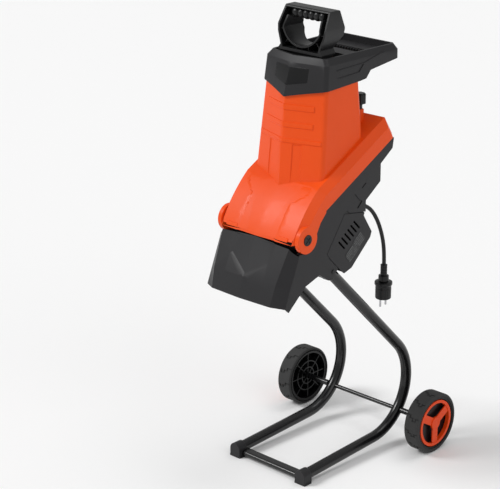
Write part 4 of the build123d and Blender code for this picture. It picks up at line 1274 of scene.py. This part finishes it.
@dataclass
class Studio:
    """The camera, the pale floor and the soft lights."""

    camera_place: Point3 = (2.42674, -2.76285, 1.80734)
    azimuth: float = 43.61
    elevation: float = 19.58
    lens: float = 126.1
    floor_colour: Point3 = (0.93, 0.93, 0.93)
    floor_size: float = 30.0
    room_strength: float = 0.46
    suns: tuple[tuple[str, float, float, float, float], ...] = (
        ("key_light", -40.0, 40.0, 20.0, 1.75),
        ("fill_light", 80.0, 35.0, 40.0, 0.42),
        ("top_light", 150.0, 70.0, 30.0, 0.45),
    )

    def camera(self) -> None:
        """Sets the camera."""
        data = bpy.data.cameras.new("camera")
        data.lens = self.lens
        data.sensor_width = 36.0
        camera = bpy.data.objects.new("camera", data)
        bpy.context.scene.collection.objects.link(camera)
        camera.location = self.camera_place
        turn, tilt = math.radians(self.azimuth), math.radians(self.elevation)
        look = Vector((-math.sin(turn) * math.cos(tilt), math.cos(turn) * math.cos(tilt), -math.sin(tilt)))
        camera.rotation_euler = look.to_track_quat("-Z", "Y").to_euler()
        bpy.context.scene.camera = camera

    def floor(self) -> None:
        """A plain pale floor."""
        bpy.ops.mesh.primitive_plane_add(size=self.floor_size)
        floor = bpy.context.object
        floor.name = "floor"
        paint = Paint("pale_floor")
        paint.set(Base_Color=(*self.floor_colour, 1.0), Roughness=0.8)
        floor.data.materials.append(paint.material)

    def sun(self, name: str, azimuth: float, height: float, spread: float, power: float) -> None:
        """One distant light, by where it stands around the machine and how soft it is."""
        data = bpy.data.lights.new(name, "SUN")
        data.angle = math.radians(spread)
        data.energy = power
        lamp = bpy.data.objects.new(name, data)
        bpy.context.scene.collection.objects.link(lamp)
        turn, tilt = math.radians(azimuth), math.radians(height)
        place = Vector((math.sin(turn) * math.cos(tilt), -math.cos(turn) * math.cos(tilt), math.sin(tilt)))
        lamp.rotation_euler = (-place).to_track_quat("-Z", "Y").to_euler()

    def lights(self) -> None:
        """A bright room with a soft sun to the left, a fill and one from behind."""
        world = bpy.data.worlds.new("room")
        world.use_nodes = True
        world.node_tree.nodes["Background"].inputs["Color"].default_value = (1.0, 1.0, 1.0, 1.0)
        world.node_tree.nodes["Background"].inputs["Strength"].default_value = self.room_strength
        bpy.context.scene.world = world
        bpy.context.scene.view_settings.view_transform = "Standard"
        for name, azimuth, height, spread, power in self.suns:
            self.sun(name, azimuth, height, spread, power)

    def build(self) -> None:
        """Makes the floor and the lights."""
        self.floor()
        self.lights()


def main() -> None:
    """Builds the machine piece by piece, then the floor and the lights."""
    logging.basicConfig(level=logging.INFO, format="%(message)s")
    studio = Studio()
    studio.camera()
    SupplyLead().build()
    Hopper().build()
    Plunger().build()
    Housing().build()
    for side in SIDES:
        Wheel(side).build()
    Stand().build()
    SmallParts().build()
    studio.build()


if __name__ == "__main__":
    main()
